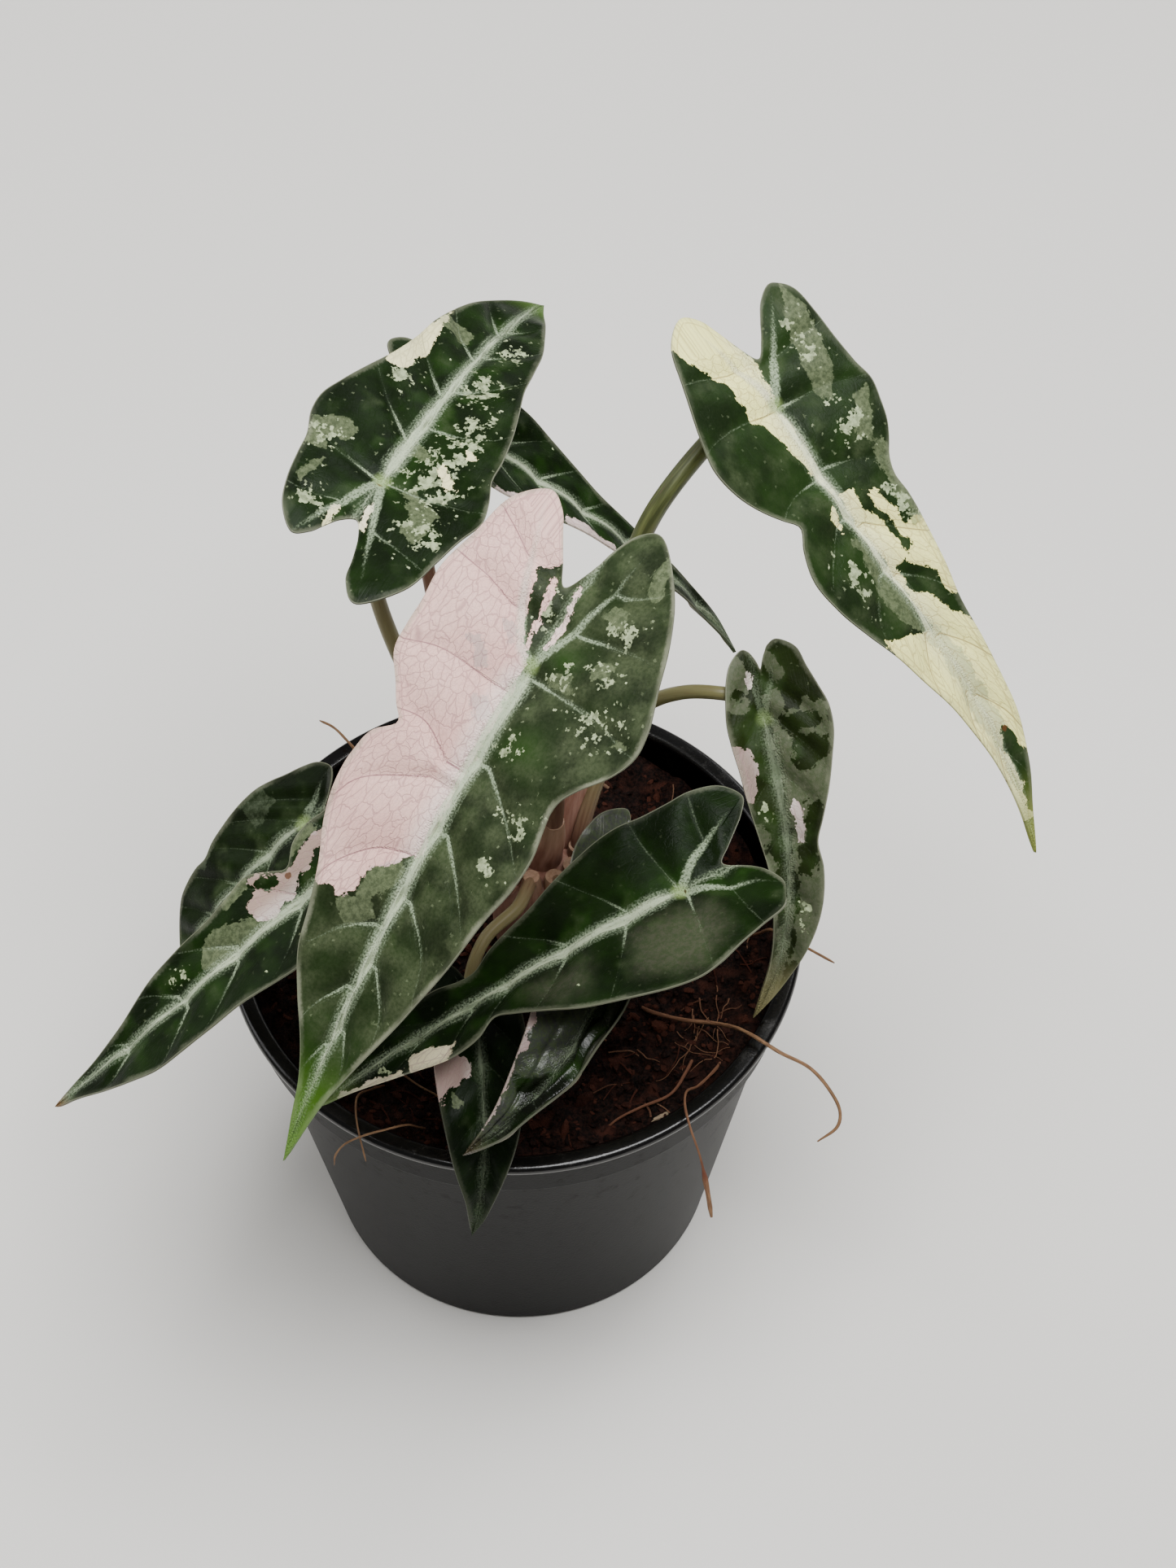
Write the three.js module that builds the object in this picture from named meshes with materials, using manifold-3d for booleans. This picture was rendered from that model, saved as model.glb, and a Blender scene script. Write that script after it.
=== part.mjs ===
// A potted alocasia: ten arrow-shaped leaves on slim stems, in a round nursery pot.
// Millimetres, +Z up. The origin is the middle of the pot's underside, and the plant's front is -Y.

import * as THREE from 'three';
import { mergeVertices } from 'three/addons/utils/BufferGeometryUtils.js';
import Module from 'manifold-3d';

const wasm = await Module();
wasm.setup();

// Driving dimensions

const clearance = 0.3;
const easyClearance = 0.36;

const pot = {
  height: 95,
  rimRadius: 60,
  mouthRadius: 56,
  collarRadius: 58.2,
  collarHeight: 13,
  shoulderRadius: 55.6,
  footRadius: 43,
  footRing: 7.5,
  hubRadius: 17,
  recess: 2,
  wall: 1.3,
  lip: 2.4,
  edgeRound: 0.7,
  segments: 48,
  drainRadius: 3.5,
  drainCircle: 26,
  drains: 6,
  drainSides: 16,
};

const soil = {
  level: 86.5,
  relief: 0.8,
  lumps: [
    { x: 0.31, y: 0.37, phase: 1.3, share: 0.7 },
    { x: 0.83, y: 0.61, phase: 0, share: 0.6 },
    { x: 0.72, y: -0.95, phase: 2, share: 0.5 },
  ],
  rings: [55.4, 52, 48, 43, 37, 30, 22, 13],
  sectors: 48,
};

const crown = {
  x: 6,
  y: 4,
  bottom: 78,
  bottomRadius: 8.8,
  girth: [[83, 10.4], [88, 11], [94, 11.2], [100, 11.2], [106, 11], [110, 10.6]],
  top: 112,
  topRadius: 9.9,
  segments: 36,
  socketCircle: 7.2,
  socketDepth: 9,
  sheaths: 9,
  sheathRelief: 0.05,
  firstSocket: 8,
};

const drySheath = {
  path: [[12, 10, 104], [13.5, 13.5, 111], [15, 17, 116.5], [17.5, 18.5, 118], [19.5, 18, 117]],
  base: 1.8,
  tip: 0.5,
};

const bladeThickness = 0.8;
const midribDepth = 0.9;
const midribHalfWidth = 2;
const lobeCurl = 0.003;

// Columns of the blades' net, as shares of the way from midrib or lobe vein to the margin

const bladeColumns = [0, 0.12, 0.5, 1];
const lobeColumns = [0, 0.5, 1];
const veinRows = [0, 0.25, 0.5, 0.75, 1];

// Tolerances: points closer than mergeDistance are one, and a triangle of less than leastArea is left out

const mergeDistance = 1e-4;
const leastArea = 1e-6;
const tangentStep = 0.5;

// Strands

const stemSides = 8;
const stemSteps = 14;
const stemApproach = { below: 5, behind: 3 };

const rootSides = 6;
const rootTaper = 0.8;
const stepsPerPoint = 2;

// Leaves
//
// joint and tip are the ends of the midrib, where the stem meets the blade and the pointed end.
// rise arches the midrib upwards and sweep bends it to the left, at a third and two thirds.
// roll turns the blade about its midrib and fold lifts both halves, in degrees.
// halfWidths are rows of distance from the joint, left half-width and right half-width.
// Each lobe is drawn as [along, across] from the widest part round its tip to the notch.
// Left and right are seen from above, looking from the joint to the tip.

const leaves = {
  pink_front: {
    joint: [5, -12, 195],
    tip: [-42, -75, 125],
    rise: [9, 8],
    sweep: [0, 0],
    roll: 0,
    fold: 12,
    halfWidths: [
      [0, 29, 24], [5, 29.5, 24], [10, 27, 23.5], [15, 22.5, 20], [18, 20.5, 18], [20.5, 20, 16],
      [24, 20.5, 19.3], [29, 21.5, 20.8], [35, 21, 21], [42, 19, 19.7], [50, 17.3, 16.7],
      [58, 15.3, 14.8], [66, 12.7, 13.2], [74, 9.8, 9.7], [81, 7, 6], [88, 4.4, 3.4], [96, 2.2, 1.7],
    ],
    notch: [-15.5, -3],
    leftLobe: [[-7, 26], [-15, 22.8], [-24, 17], [-32, 8.5], [-31, 3.8], [-26, 1], [-20.5, -0.6]],
    rightLobe: [
      [-7, -24.5], [-15, -22.8], [-24, -21], [-29.3, -16],
      [-27.5, -11.8], [-23.5, -8.8], [-19.5, -6],
    ],
  },
  back_left: {
    joint: [-24, 33, 195],
    tip: [6, 104, 170],
    rise: [7, 7],
    sweep: [0, 2],
    roll: 12,
    fold: 8,
    halfWidths: [
      [0, 17, 21.5], [5, 19, 20.3], [10, 19.5, 18.3], [16, 18, 17.7], [23, 16, 16.5], [31, 13.5, 14.5],
      [39, 12.2, 12.4], [47, 11.7, 11.3], [55, 10.6, 10], [63, 8.6, 7.4], [70, 6, 4.8], [76, 3, 2],
    ],
    notch: [-11, -0.5],
    leftLobe: [[-5, 16.2], [-11, 15], [-16.5, 12.8], [-20.5, 8.5], [-18.5, 5.5], [-15.5, 3.7], [-12.8, 2]],
    rightLobe: [
      [-6, -20], [-13, -18.5], [-21, -16.3], [-27.7, -10],
      [-24.5, -5.8], [-19.5, -4.4], [-14.5, -2.8],
    ],
  },
  back_right: {
    joint: [51, 48, 200],
    tip: [105, -4, 125],
    rise: [9, 8],
    sweep: [-6, 8],
    roll: 0,
    fold: 10,
    halfWidths: [
      [0, 19, 20.3], [5, 20.2, 21.5], [10, 19.5, 20], [15, 18, 16.5], [18, 16.3, 13.8], [20.5, 14.6, 11.5],
      [24, 13.3, 14], [29, 13.2, 16.3], [36, 12.4, 16], [44, 11, 13.4], [52, 9.2, 10.6], [61, 8.3, 8.1],
      [70, 7.6, 5.6], [80, 6.5, 3.7], [88, 4.6, 2.2], [96, 2.2, 1.4],
    ],
    notch: [-9.3, 2],
    leftLobe: [[-6, 18], [-12, 17.2], [-18, 16], [-21, 12.5], [-19, 9], [-15.5, 6.5], [-12.3, 4.6]],
    rightLobe: [
      [-6, -18.7], [-12, -16.8], [-18.5, -14.2], [-22.7, -9],
      [-21, -5], [-17.3, -2.6], [-13, -0.4],
    ],
  },
  right_hanging: {
    joint: [50, 11, 150],
    tip: [49, -24, 95],
    rise: [7, 6],
    sweep: [6, 10],
    roll: 0,
    fold: 18,
    halfWidths: [
      [0, 13.5, 8], [4, 13.5, 8], [9, 12, 7.5], [15, 10, 7], [20, 8, 6.3], [24.5, 6.4, 5.4],
      [29, 7.2, 4.4], [35, 7.2, 3.6], [41, 6.4, 3], [47, 5, 2.3], [53, 3.2, 1.8], [59, 1.6, 1.2],
    ],
    notch: [-9.4, 1.5],
    leftLobe: [[-4, 12.2], [-8, 10.8], [-12, 9.6], [-14.4, 6.3], [-13.8, 4.2], [-12.4, 3.1], [-11, 2.3]],
    rightLobe: [
      [-4, -7.3], [-8, -6.3], [-11.5, -4.6], [-13.8, -1.8],
      [-13.3, -0.2], [-12.1, 0.6], [-10.8, 1.1],
    ],
  },
  front_right: {
    joint: [33, -24, 140],
    tip: [-38, -51, 105],
    rise: [7, 6],
    sweep: [2, 1.5],
    roll: 0,
    fold: 12,
    halfWidths: [
      [0, 21, 17.5], [4, 22, 17.8], [9, 21.3, 17.3], [15, 19.5, 15.8], [21, 17, 13.8], [27, 14.2, 11.5],
      [33, 10.5, 9.7], [38, 7.4, 8], [42.5, 5.6, 5.8], [46, 8, 5.8], [51, 8.9, 6.8], [57, 8, 6.5],
      [64, 5.8, 5.2], [71, 3.5, 3.5], [78, 1.6, 1.7],
    ],
    notch: [-10, -1.6],
    leftLobe: [[-5, 18.7], [-10, 17], [-15.5, 15], [-18.2, 9.5], [-17, 5], [-15, 2.4], [-12.6, 0.5]],
    rightLobe: [
      [-6, -17.6], [-11, -17.9], [-16.5, -16.6], [-19.7, -12.7],
      [-18, -9.4], [-15.4, -6.8], [-12.6, -4.2],
    ],
  },
  left_back: {
    joint: [-41, -4, 135],
    tip: [-68, -14, 101],
    rise: [6, 5],
    sweep: [3, 2],
    roll: 0,
    fold: 12,
    halfWidths: [
      [0, 12, 12], [3, 12.8, 12.8], [7, 13, 13], [11, 12.9, 12.8], [15, 12.3, 12.2], [19, 11.3, 11.3],
      [22.5, 10.1, 10], [26, 10, 10.2], [30, 9.4, 9.7], [34, 8, 8.4], [37.5, 5.8, 6], [41, 3, 3.2],
    ],
    notch: [-5, 0.6],
    leftLobe: [[-3, 11.6], [-6, 10.6], [-9, 9], [-11, 6.2], [-10.2, 4.2], [-8.6, 2.8], [-6.8, 1.6]],
    rightLobe: [
      [-3, -10.9], [-6.5, -9.8], [-9.5, -8.4], [-11.1, -6],
      [-10.3, -4], [-8.6, -2.3], [-6.8, -0.8],
    ],
  },
  left_low: {
    joint: [-29, -23, 150],
    tip: [-91, -47, 98],
    rise: [7, 6],
    sweep: [4, 6],
    roll: 0,
    fold: 14,
    halfWidths: [
      [0, 17, 12], [4, 17, 12], [8.5, 16.6, 10.5], [12, 16, 7.4], [15, 15.4, 9], [19, 14.7, 11.3],
      [25, 13.4, 10.7], [32, 12.2, 9.6], [40, 11.7, 9.2], [48, 11.5, 8.2], [54, 10.7, 6.6], [61, 8.4, 4.5],
      [68, 5.6, 2.8], [76, 2.6, 1.6],
    ],
    notch: [-9, 0],
    leftLobe: [[-5, 16], [-10, 15], [-15, 13], [-18, 9], [-16.8, 6], [-14.4, 3.9], [-11.6, 1.9]],
    rightLobe: [
      [-5, -12.6], [-10, -12.6], [-15, -11.6], [-18, -8],
      [-16.8, -5.2], [-14.4, -3.2], [-11.6, -1.4],
    ],
  },
  back: {
    joint: [-14, 72, 172],
    tip: [47, 58, 112],
    rise: [5, 8],
    sweep: [-6, 0],
    roll: -12,
    fold: 12,
    halfWidths: [
      [0, 13, 14], [6, 14, 15.2], [12, 14.2, 15.6], [18, 13.4, 14.6], [24, 11.6, 12.4], [31, 9, 9.6],
      [38, 6.9, 7.8], [46, 5.2, 6.2], [55, 4.2, 4.4], [64, 3.4, 3], [72, 2.7, 2.4], [80, 1.6, 1.6],
    ],
    notch: [-8, -0.5],
    leftLobe: [[-5, 12.6], [-10, 11.9], [-14.6, 10.4], [-17, 7.5], [-16, 5], [-13.6, 3.1], [-10.8, 1.2]],
    rightLobe: [
      [-5, -13.4], [-10, -12.4], [-14.6, -10.8], [-17, -8],
      [-16, -5.2], [-13.6, -3.3], [-10.8, -1.7],
    ],
  },
  front_low: {
    joint: [-7, -34, 112],
    tip: [-8, -66, 80],
    rise: [10, 14],
    sweep: [3, 4],
    roll: 0,
    fold: 28,
    halfWidths: [
      [0, 10, 10], [5, 10.5, 10.5], [10, 10.1, 10.3], [16, 9.2, 9.6], [21, 8, 8.6], [26, 6.4, 7.2],
      [31, 4.6, 5.4], [36, 2.9, 3.3], [41, 1.5, 1.6],
    ],
    notch: [-5, 0],
    leftLobe: [[-3, 9.8], [-6.5, 9], [-9.2, 7.6], [-10.5, 5.5], [-9.8, 3.8], [-8.4, 2.4], [-6.8, 1.2]],
    rightLobe: [
      [-3, -9.8], [-6.5, -9], [-9.2, -7.6], [-10.5, -5.5],
      [-9.8, -3.8], [-8.4, -2.4], [-6.8, -1.2],
    ],
  },
  curled: {
    joint: [23, -15, 124],
    tip: [-9, -64, 108],
    rise: [6, 7],
    sweep: [9, 14],
    roll: 0,
    fold: 38,
    halfWidths: [
      [0, 12, 14.5], [5, 12, 14.3], [11, 11, 13.5], [18, 9.5, 12.8], [25, 8.3, 12.2], [31, 7.2, 11.4],
      [37, 6.3, 10], [43, 4.8, 7.9], [49, 3.2, 5.5], [55, 1.9, 2.7],
    ],
    notch: [-6, 0],
    leftLobe: [[-4, 11.6], [-8, 10.4], [-11.5, 8.6], [-13.5, 6], [-12.4, 4], [-10.6, 2.5], [-8.2, 1.2]],
    rightLobe: [
      [-6, -14.4], [-11.5, -12.6], [-16.5, -9.8], [-20.5, -5],
      [-18, -3], [-14, -1.9], [-9.8, -0.9],
    ],
  },
};

// Stems
//
// socket is the direction of the stem's hole in the crown, in degrees from +X, or null for the middle.
// path holds the points that the stem passes on its way to its blade's joint.

const stems = {
  pink_front: { socket: null, path: [[8, 2, 125], [9, 0, 150], [9, -5, 175]], base: 2.1, top: 1.7 },
  back_left: { socket: 130, path: [[-8, 15, 125], [-21, 23, 150], [-27, 29, 172]], base: 1.9, top: 1.5 },
  back_right: { socket: 48, path: [[14, 16, 132], [20, 27, 160], [29, 36, 185]], base: 2.1, top: 1.9 },
  right_hanging: {
    socket: 8,
    path: [[14.5, 8, 120], [20, 18, 131], [26, 21, 140], [34, 18, 149], [42, 15, 152.5]],
    base: 1.7,
    top: 1.35,
  },
  front_right: { socket: -32, path: [[21, 1, 118], [34, 1, 127], [39, -8, 134]], base: 1.8, top: 1.4 },
  left_back: { socket: 172, path: [[-10, 5, 119], [-25, 3, 131]], base: 1.7, top: 1.3 },
  left_low: { socket: 212, path: [[-6, -5, 122], [-15, -10, 140]], base: 1.8, top: 1.4 },
  back: { socket: 90, path: [[-2, 22, 118], [-14, 42, 134], [-19, 60, 152]], base: 1.7, top: 1.4 },
  front_low: {
    socket: 252,
    path: [[1, -10.5, 115], [-5.5, -17.5, 114], [-8.5, -25, 109.5]],
    base: 1.5,
    top: 1.2,
  },
  curled: { socket: -70, path: [[13, -8, 116], [19, -11, 120]], base: 1.7, top: 1.2 },
};

// Surface roots: points along each root and its radius

const roots = {
  over_right_rim: {
    radius: 0.75,
    path: [[25, -13, 84], [28, -18, 88], [35, -20.5, 88.6], [42, -23, 91], [47.5, -29, 97.2], [54, -34, 97.6],
      [60, -36, 95], [64, -38.5, 91], [66.5, -41, 86], [66, -43, 83.5], [62, -45, 81]],
  },
  over_front_rim: {
    radius: 0.7,
    path: [[43, -27, 84], [41, -33, 89], [37.5, -38.5, 92], [35, -42.3, 96],
      [34.6, -46, 97.3], [35.5, -51, 97.2],
      [37.5, -56, 94], [39, -60, 88], [40, -63, 82]],
  },
  on_soil: {
    radius: 0.7,
    path: [[38, -24, 84], [35.5, -32, 87.6], [32, -38, 88], [26, -41, 87.9], [21, -44, 87.9], [17, -46, 84]],
  },
  left_front: {
    radius: 0.6,
    path: [[-24, -29, 84], [-22.5, -33, 87.5], [-19, -36, 87.8], [-15, -38.5, 87.5], [-13, -40, 84]],
  },
  over_left_rim: {
    radius: 0.6,
    path: [[-25, -33, 84], [-28.5, -38, 90], [-31, -43, 95.4], [-31, -48.5, 97.1],
      [-30, -53.5, 96.6], [-29, -56, 92]],
  },
  left_tail: {
    radius: 0.6,
    path: [[-17, -44, 84], [-19, -47.5, 91], [-21, -50, 96], [-25, -52.5, 98.4],
      [-29.5, -54.3, 98.9], [-33, -55.8, 98.2], [-34.8, -56.8, 95.8], [-35.2, -57.3, 92.8]],
  },
  right_stub: {
    radius: 0.6,
    path: [[48, 3, 84], [51, 0, 90], [53.5, -3, 95.8], [57.5, -6.5, 97.3], [62, -9.5, 97.3], [66, -12, 97]],
  },
  back_left: {
    radius: 0.6,
    path: [[-31, 38, 84], [-33, 41, 90], [-34.5, 42.8, 96], [-37, 45.5, 97.4],
      [-40, 49, 97.3], [-43, 51, 97]],
  },
};

// Solids: closed meshes that can be joined and cut

function toManifold(geometry) {
  const bare = geometry.clone();
  bare.deleteAttribute('normal');
  bare.deleteAttribute('uv');
  const merged = mergeVertices(bare, mergeDistance);
  return new wasm.Manifold(new wasm.Mesh({
    numProp: 3,
    vertProperties: new Float32Array(merged.attributes.position.array),
    triVerts: new Uint32Array(merged.index.array),
  }));
}

function fromManifold(solid) {
  const body = solid.decompose().sort((a, b) => b.volume() - a.volume())[0];
  const mesh = body.getMesh();
  return indexedGeometry(Array.from(mesh.vertProperties), Array.from(mesh.triVerts));
}

function indexedGeometry(positions, indices) {
  const geometry = new THREE.BufferGeometry();
  geometry.setAttribute('position', new THREE.Float32BufferAttribute(positions, 3));
  geometry.setIndex(indices);
  geometry.computeVertexNormals();
  return geometry;
}

// Loft: rings of points, each ring counter-clockwise seen from its far end, closed by a fan at both ends

function loft(rings) {
  const sides = rings[0].length;
  const positions = [];
  const indices = [];
  rings.flat().forEach((point) => positions.push(...point.toArray()));
  for (let ring = 0; ring + 1 < rings.length; ring += 1) {
    for (let side = 0; side < sides; side += 1) {
      const next = (side + 1) % sides;
      const [a, b] = [ring * sides + side, ring * sides + next];
      const [c, d] = [a + sides, b + sides];
      indices.push(a, b, d, a, d, c);
    }
  }
  const total = (ring) => ring.reduce((sum, point) => sum.add(point), new THREE.Vector3());
  const middle = (ring) => total(ring).divideScalar(sides);
  const first = positions.length / 3;
  positions.push(...middle(rings[0]).toArray(), ...middle(rings.at(-1)).toArray());
  const lastRing = (rings.length - 1) * sides;
  for (let side = 0; side < sides; side += 1) {
    const next = (side + 1) % sides;
    indices.push(first, next, side);
    indices.push(first + 1, lastRing + side, lastRing + next);
  }
  return indexedGeometry(positions, indices);
}

// Round strand along a smooth curve, whose radius runs from base to top and whose ends reach out by overrun

function strand(points, base, top, sides, steps, overrun = 0) {
  const curve = new THREE.CatmullRomCurve3(points, false, 'centripetal');
  const frames = curve.computeFrenetFrames(steps, false);
  const rings = [];
  for (let step = 0; step <= steps; step += 1) {
    const along = step / steps;
    const reach = (step === steps ? overrun : 0) - (step === 0 ? overrun : 0);
    const centre = curve.getPointAt(along).addScaledVector(frames.tangents[step], reach);
    const radius = THREE.MathUtils.lerp(base, top, along);
    const ring = [];
    for (let side = 0; side < sides; side += 1) {
      const angle = (2 * Math.PI * side) / sides;
      ring.push(centre.clone()
        .addScaledVector(frames.normals[step], radius * Math.cos(angle))
        .addScaledVector(frames.binormals[step], radius * Math.sin(angle)));
    }
    rings.push(ring);
  }
  return loft(rings);
}

// Leaf surface: a point for each distance along the midrib and across it

function leafFrame(leaf) {
  const joint = new THREE.Vector3(...leaf.joint);
  const tip = new THREE.Vector3(...leaf.tip);
  const chord = tip.clone().sub(joint);
  const length = chord.length();
  chord.normalize();
  const across = new THREE.Vector3(0, 0, 1).cross(chord).normalize();
  across.applyAxisAngle(chord, THREE.MathUtils.degToRad(leaf.roll));
  const normal = chord.clone().cross(across);
  const bend = (share, index) => joint.clone()
    .addScaledVector(chord, length * share)
    .addScaledVector(normal, leaf.rise[index])
    .addScaledVector(across, leaf.sweep[index]);
  const midrib = new THREE.CubicBezierCurve3(joint, bend(1 / 3, 0), bend(2 / 3, 1), tip);
  return { joint, length, across, midrib };
}

function leafPoint(leaf, along, side) {
  const { joint, length, across, midrib } = leafFrame(leaf);
  const centre = new THREE.Vector3();
  const forward = new THREE.Vector3();
  if (along >= 0) {
    const share = Math.min(along / length, 1);
    midrib.getPoint(share, centre);
    midrib.getTangent(share, forward);
  } else {
    const start = midrib.v1.clone().sub(joint).normalize();
    const left = across.clone().addScaledVector(start, -across.dot(start)).normalize();
    const up = start.clone().cross(left);
    centre.copy(joint).addScaledVector(start, along).addScaledVector(up, -lobeCurl * along * along);
    forward.copy(start).addScaledVector(up, -2 * lobeCurl * along).normalize();
  }
  const left = across.clone().addScaledVector(forward, -across.dot(forward)).normalize();
  const up = forward.clone().cross(left);
  const fold = THREE.MathUtils.degToRad(leaf.fold);
  return centre
    .addScaledVector(left, side * Math.cos(fold))
    .addScaledVector(up, Math.abs(side) * Math.sin(fold));
}

function leafUp(leaf, along, side) {
  const step = tangentStep;
  const ahead = leafPoint(leaf, along + step, side).sub(leafPoint(leaf, along - step, side));
  const leftwards = leafPoint(leaf, along, side + step).sub(leafPoint(leaf, along, side - step));
  return ahead.cross(leftwards).normalize();
}

// Flat net of a blade: points [along, side] and triangles that are counter-clockwise seen from above

function bladeNet(leaf) {
  const points = [];
  const triangles = [];
  const index = new Map();
  const pointIndex = ([along, side]) => {
    const key = `${along.toFixed(4)},${side.toFixed(4)}`;
    if (!index.has(key)) {
      index.set(key, points.length);
      points.push([along, side]);
    }
    return index.get(key);
  };
  const addTriangle = (a, b, c) => {
    const area = (b[0] - a[0]) * (c[1] - a[1]) - (b[1] - a[1]) * (c[0] - a[0]);
    if (Math.abs(area) > leastArea) {
      triangles.push((area > 0 ? [a, b, c] : [a, c, b]).map(pointIndex));
    }
  };
  const between = (from, to, share) => [0, 1].map((axis) => from[axis] + (to[axis] - from[axis]) * share);
  const patch = (spine, edge, columns) => {
    const rows = spine.map((start, row) => columns.map((share) => between(start, edge[row], share)));
    for (let row = 0; row + 1 < rows.length; row += 1) {
      for (let column = 0; column + 1 < columns.length; column += 1) {
        const [a, b] = [rows[row][column], rows[row][column + 1]];
        const [c, d] = [rows[row + 1][column], rows[row + 1][column + 1]];
        addTriangle(a, b, d);
        addTriangle(a, d, c);
      }
    }
  };
  const { length } = leafFrame(leaf);
  for (const [sign, lobe, column] of [[1, leaf.leftLobe, 1], [-1, leaf.rightLobe, 2]]) {
    const midrib = [...leaf.halfWidths.map(([along]) => [along, 0]), [length, 0]];
    const margin = [...leaf.halfWidths.map((row) => [row[0], sign * row[column]]), [length, 0]];
    patch(midrib, margin, bladeColumns);
    const lobeTip = Math.floor(lobe.length / 2);
    const vein = veinRows.map((share) => between([0, 0], lobe[lobeTip], share));
    patch(vein, [margin[0], ...lobe.slice(0, lobeTip + 1)], bladeColumns);
    patch(vein, [leaf.notch, ...lobe.slice(lobeTip).reverse()], lobeColumns);
  }
  return { points, triangles };
}

// Blade: the net given its thickness, with the midrib standing out underneath

function bladeGeometry(leaf, extra = 0) {
  const { points, triangles } = bladeNet(leaf);
  const top = [];
  const bottom = [];
  for (const [along, side] of points) {
    const centre = leafPoint(leaf, along, side);
    const up = leafUp(leaf, along, side);
    const ridge = midribDepth * Math.max(0, 1 - Math.abs(side) / midribHalfWidth) * (along < 0 ? 0 : 1);
    top.push(centre.clone().addScaledVector(up, bladeThickness / 2 + extra));
    bottom.push(centre.clone().addScaledVector(up, -bladeThickness / 2 - ridge - extra));
  }
  const count = points.length;
  const indices = [];
  const edges = new Map();
  for (const [a, b, c] of triangles) {
    indices.push(a, b, c, a + count, c + count, b + count);
    for (const [from, to] of [[a, b], [b, c], [c, a]]) {
      const back = `${to},${from}`;
      if (edges.has(back)) {
        edges.delete(back);
      } else {
        edges.set(`${from},${to}`, [from, to]);
      }
    }
  }
  for (const [from, to] of edges.values()) {
    indices.push(from, from + count, to + count, from, to + count, to);
  }
  return indexedGeometry([...top, ...bottom].flatMap((point) => point.toArray()), indices);
}

// Stem: from its socket in the crown to the underside of its blade

function socketPoint(angle, height) {
  const circle = angle === null ? 0 : crown.socketCircle;
  const turn = THREE.MathUtils.degToRad(angle ?? 0);
  return new THREE.Vector3(crown.x + circle * Math.cos(turn), crown.y + circle * Math.sin(turn), height);
}

function stemPoints(name) {
  const stem = stems[name];
  const leaf = leaves[name];
  const joint = new THREE.Vector3(...leaf.joint);
  const forward = leafFrame(leaf).midrib.getTangent(0);
  return [
    socketPoint(stem.socket, crown.top - crown.socketDepth),
    socketPoint(stem.socket, crown.top + 1),
    ...stem.path.map((point) => new THREE.Vector3(...point)),
    joint.clone()
      .addScaledVector(leafUp(leaf, 0, 0), -stemApproach.below)
      .addScaledVector(forward, -stemApproach.behind),
    joint,
  ];
}

function stemSolid(name, extra = 0) {
  const { base, top } = stems[name];
  return toManifold(strand(stemPoints(name), base + extra, top + extra, stemSides, stemSteps, extra));
}

function stemGeometry(name) {
  const hollow = toManifold(bladeGeometry(leaves[name], easyClearance));
  return fromManifold(stemSolid(name).subtract(hollow));
}

// Crown: the overlapping bases of the stems' sheaths, with one dry sheath tip that curls out behind

function crownSolid(extra = 0) {
  const bottom = [crown.bottom - extra, crown.bottomRadius];
  const top = [crown.top + extra, crown.topRadius];
  const rings = [bottom, ...crown.girth, top].map(([height, radius]) => {
    const ring = [];
    for (let segment = 0; segment < crown.segments; segment += 1) {
      const angle = (2 * Math.PI * segment) / crown.segments;
      const turn = angle - THREE.MathUtils.degToRad(crown.firstSocket);
      const swell = 1 + crown.sheathRelief * Math.cos(crown.sheaths * turn);
      const reach = radius * swell + extra;
      const [x, y] = [crown.x + reach * Math.cos(angle), crown.y + reach * Math.sin(angle)];
      ring.push(new THREE.Vector3(x, y, height));
    }
    return ring;
  });
  return toManifold(loft(rings));
}

function crownGeometry() {
  const path = drySheath.path.map((point) => new THREE.Vector3(...point));
  const horn = strand(path, drySheath.base, drySheath.tip, stemSides, stepsPerPoint * path.length);
  let solid = crownSolid().add(toManifold(horn));
  for (const name of Object.keys(stems)) {
    solid = solid.subtract(stemSolid(name, clearance));
  }
  return fromManifold(solid);
}

// Roots: bare strands that leave the soil, lie on it and hang over the rim

function rootSolid(name, extra = 0) {
  const root = roots[name];
  const points = root.path.map((point) => new THREE.Vector3(...point));
  const [base, tip] = [root.radius + extra, root.radius * rootTaper + extra];
  return toManifold(strand(points, base, tip, rootSides, stepsPerPoint * points.length, extra));
}

// Pot: thin turned wall with a collar and a flat lip, and a floor that stands on a hub and a foot ring,
// with drain holes in the channel between them

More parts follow.
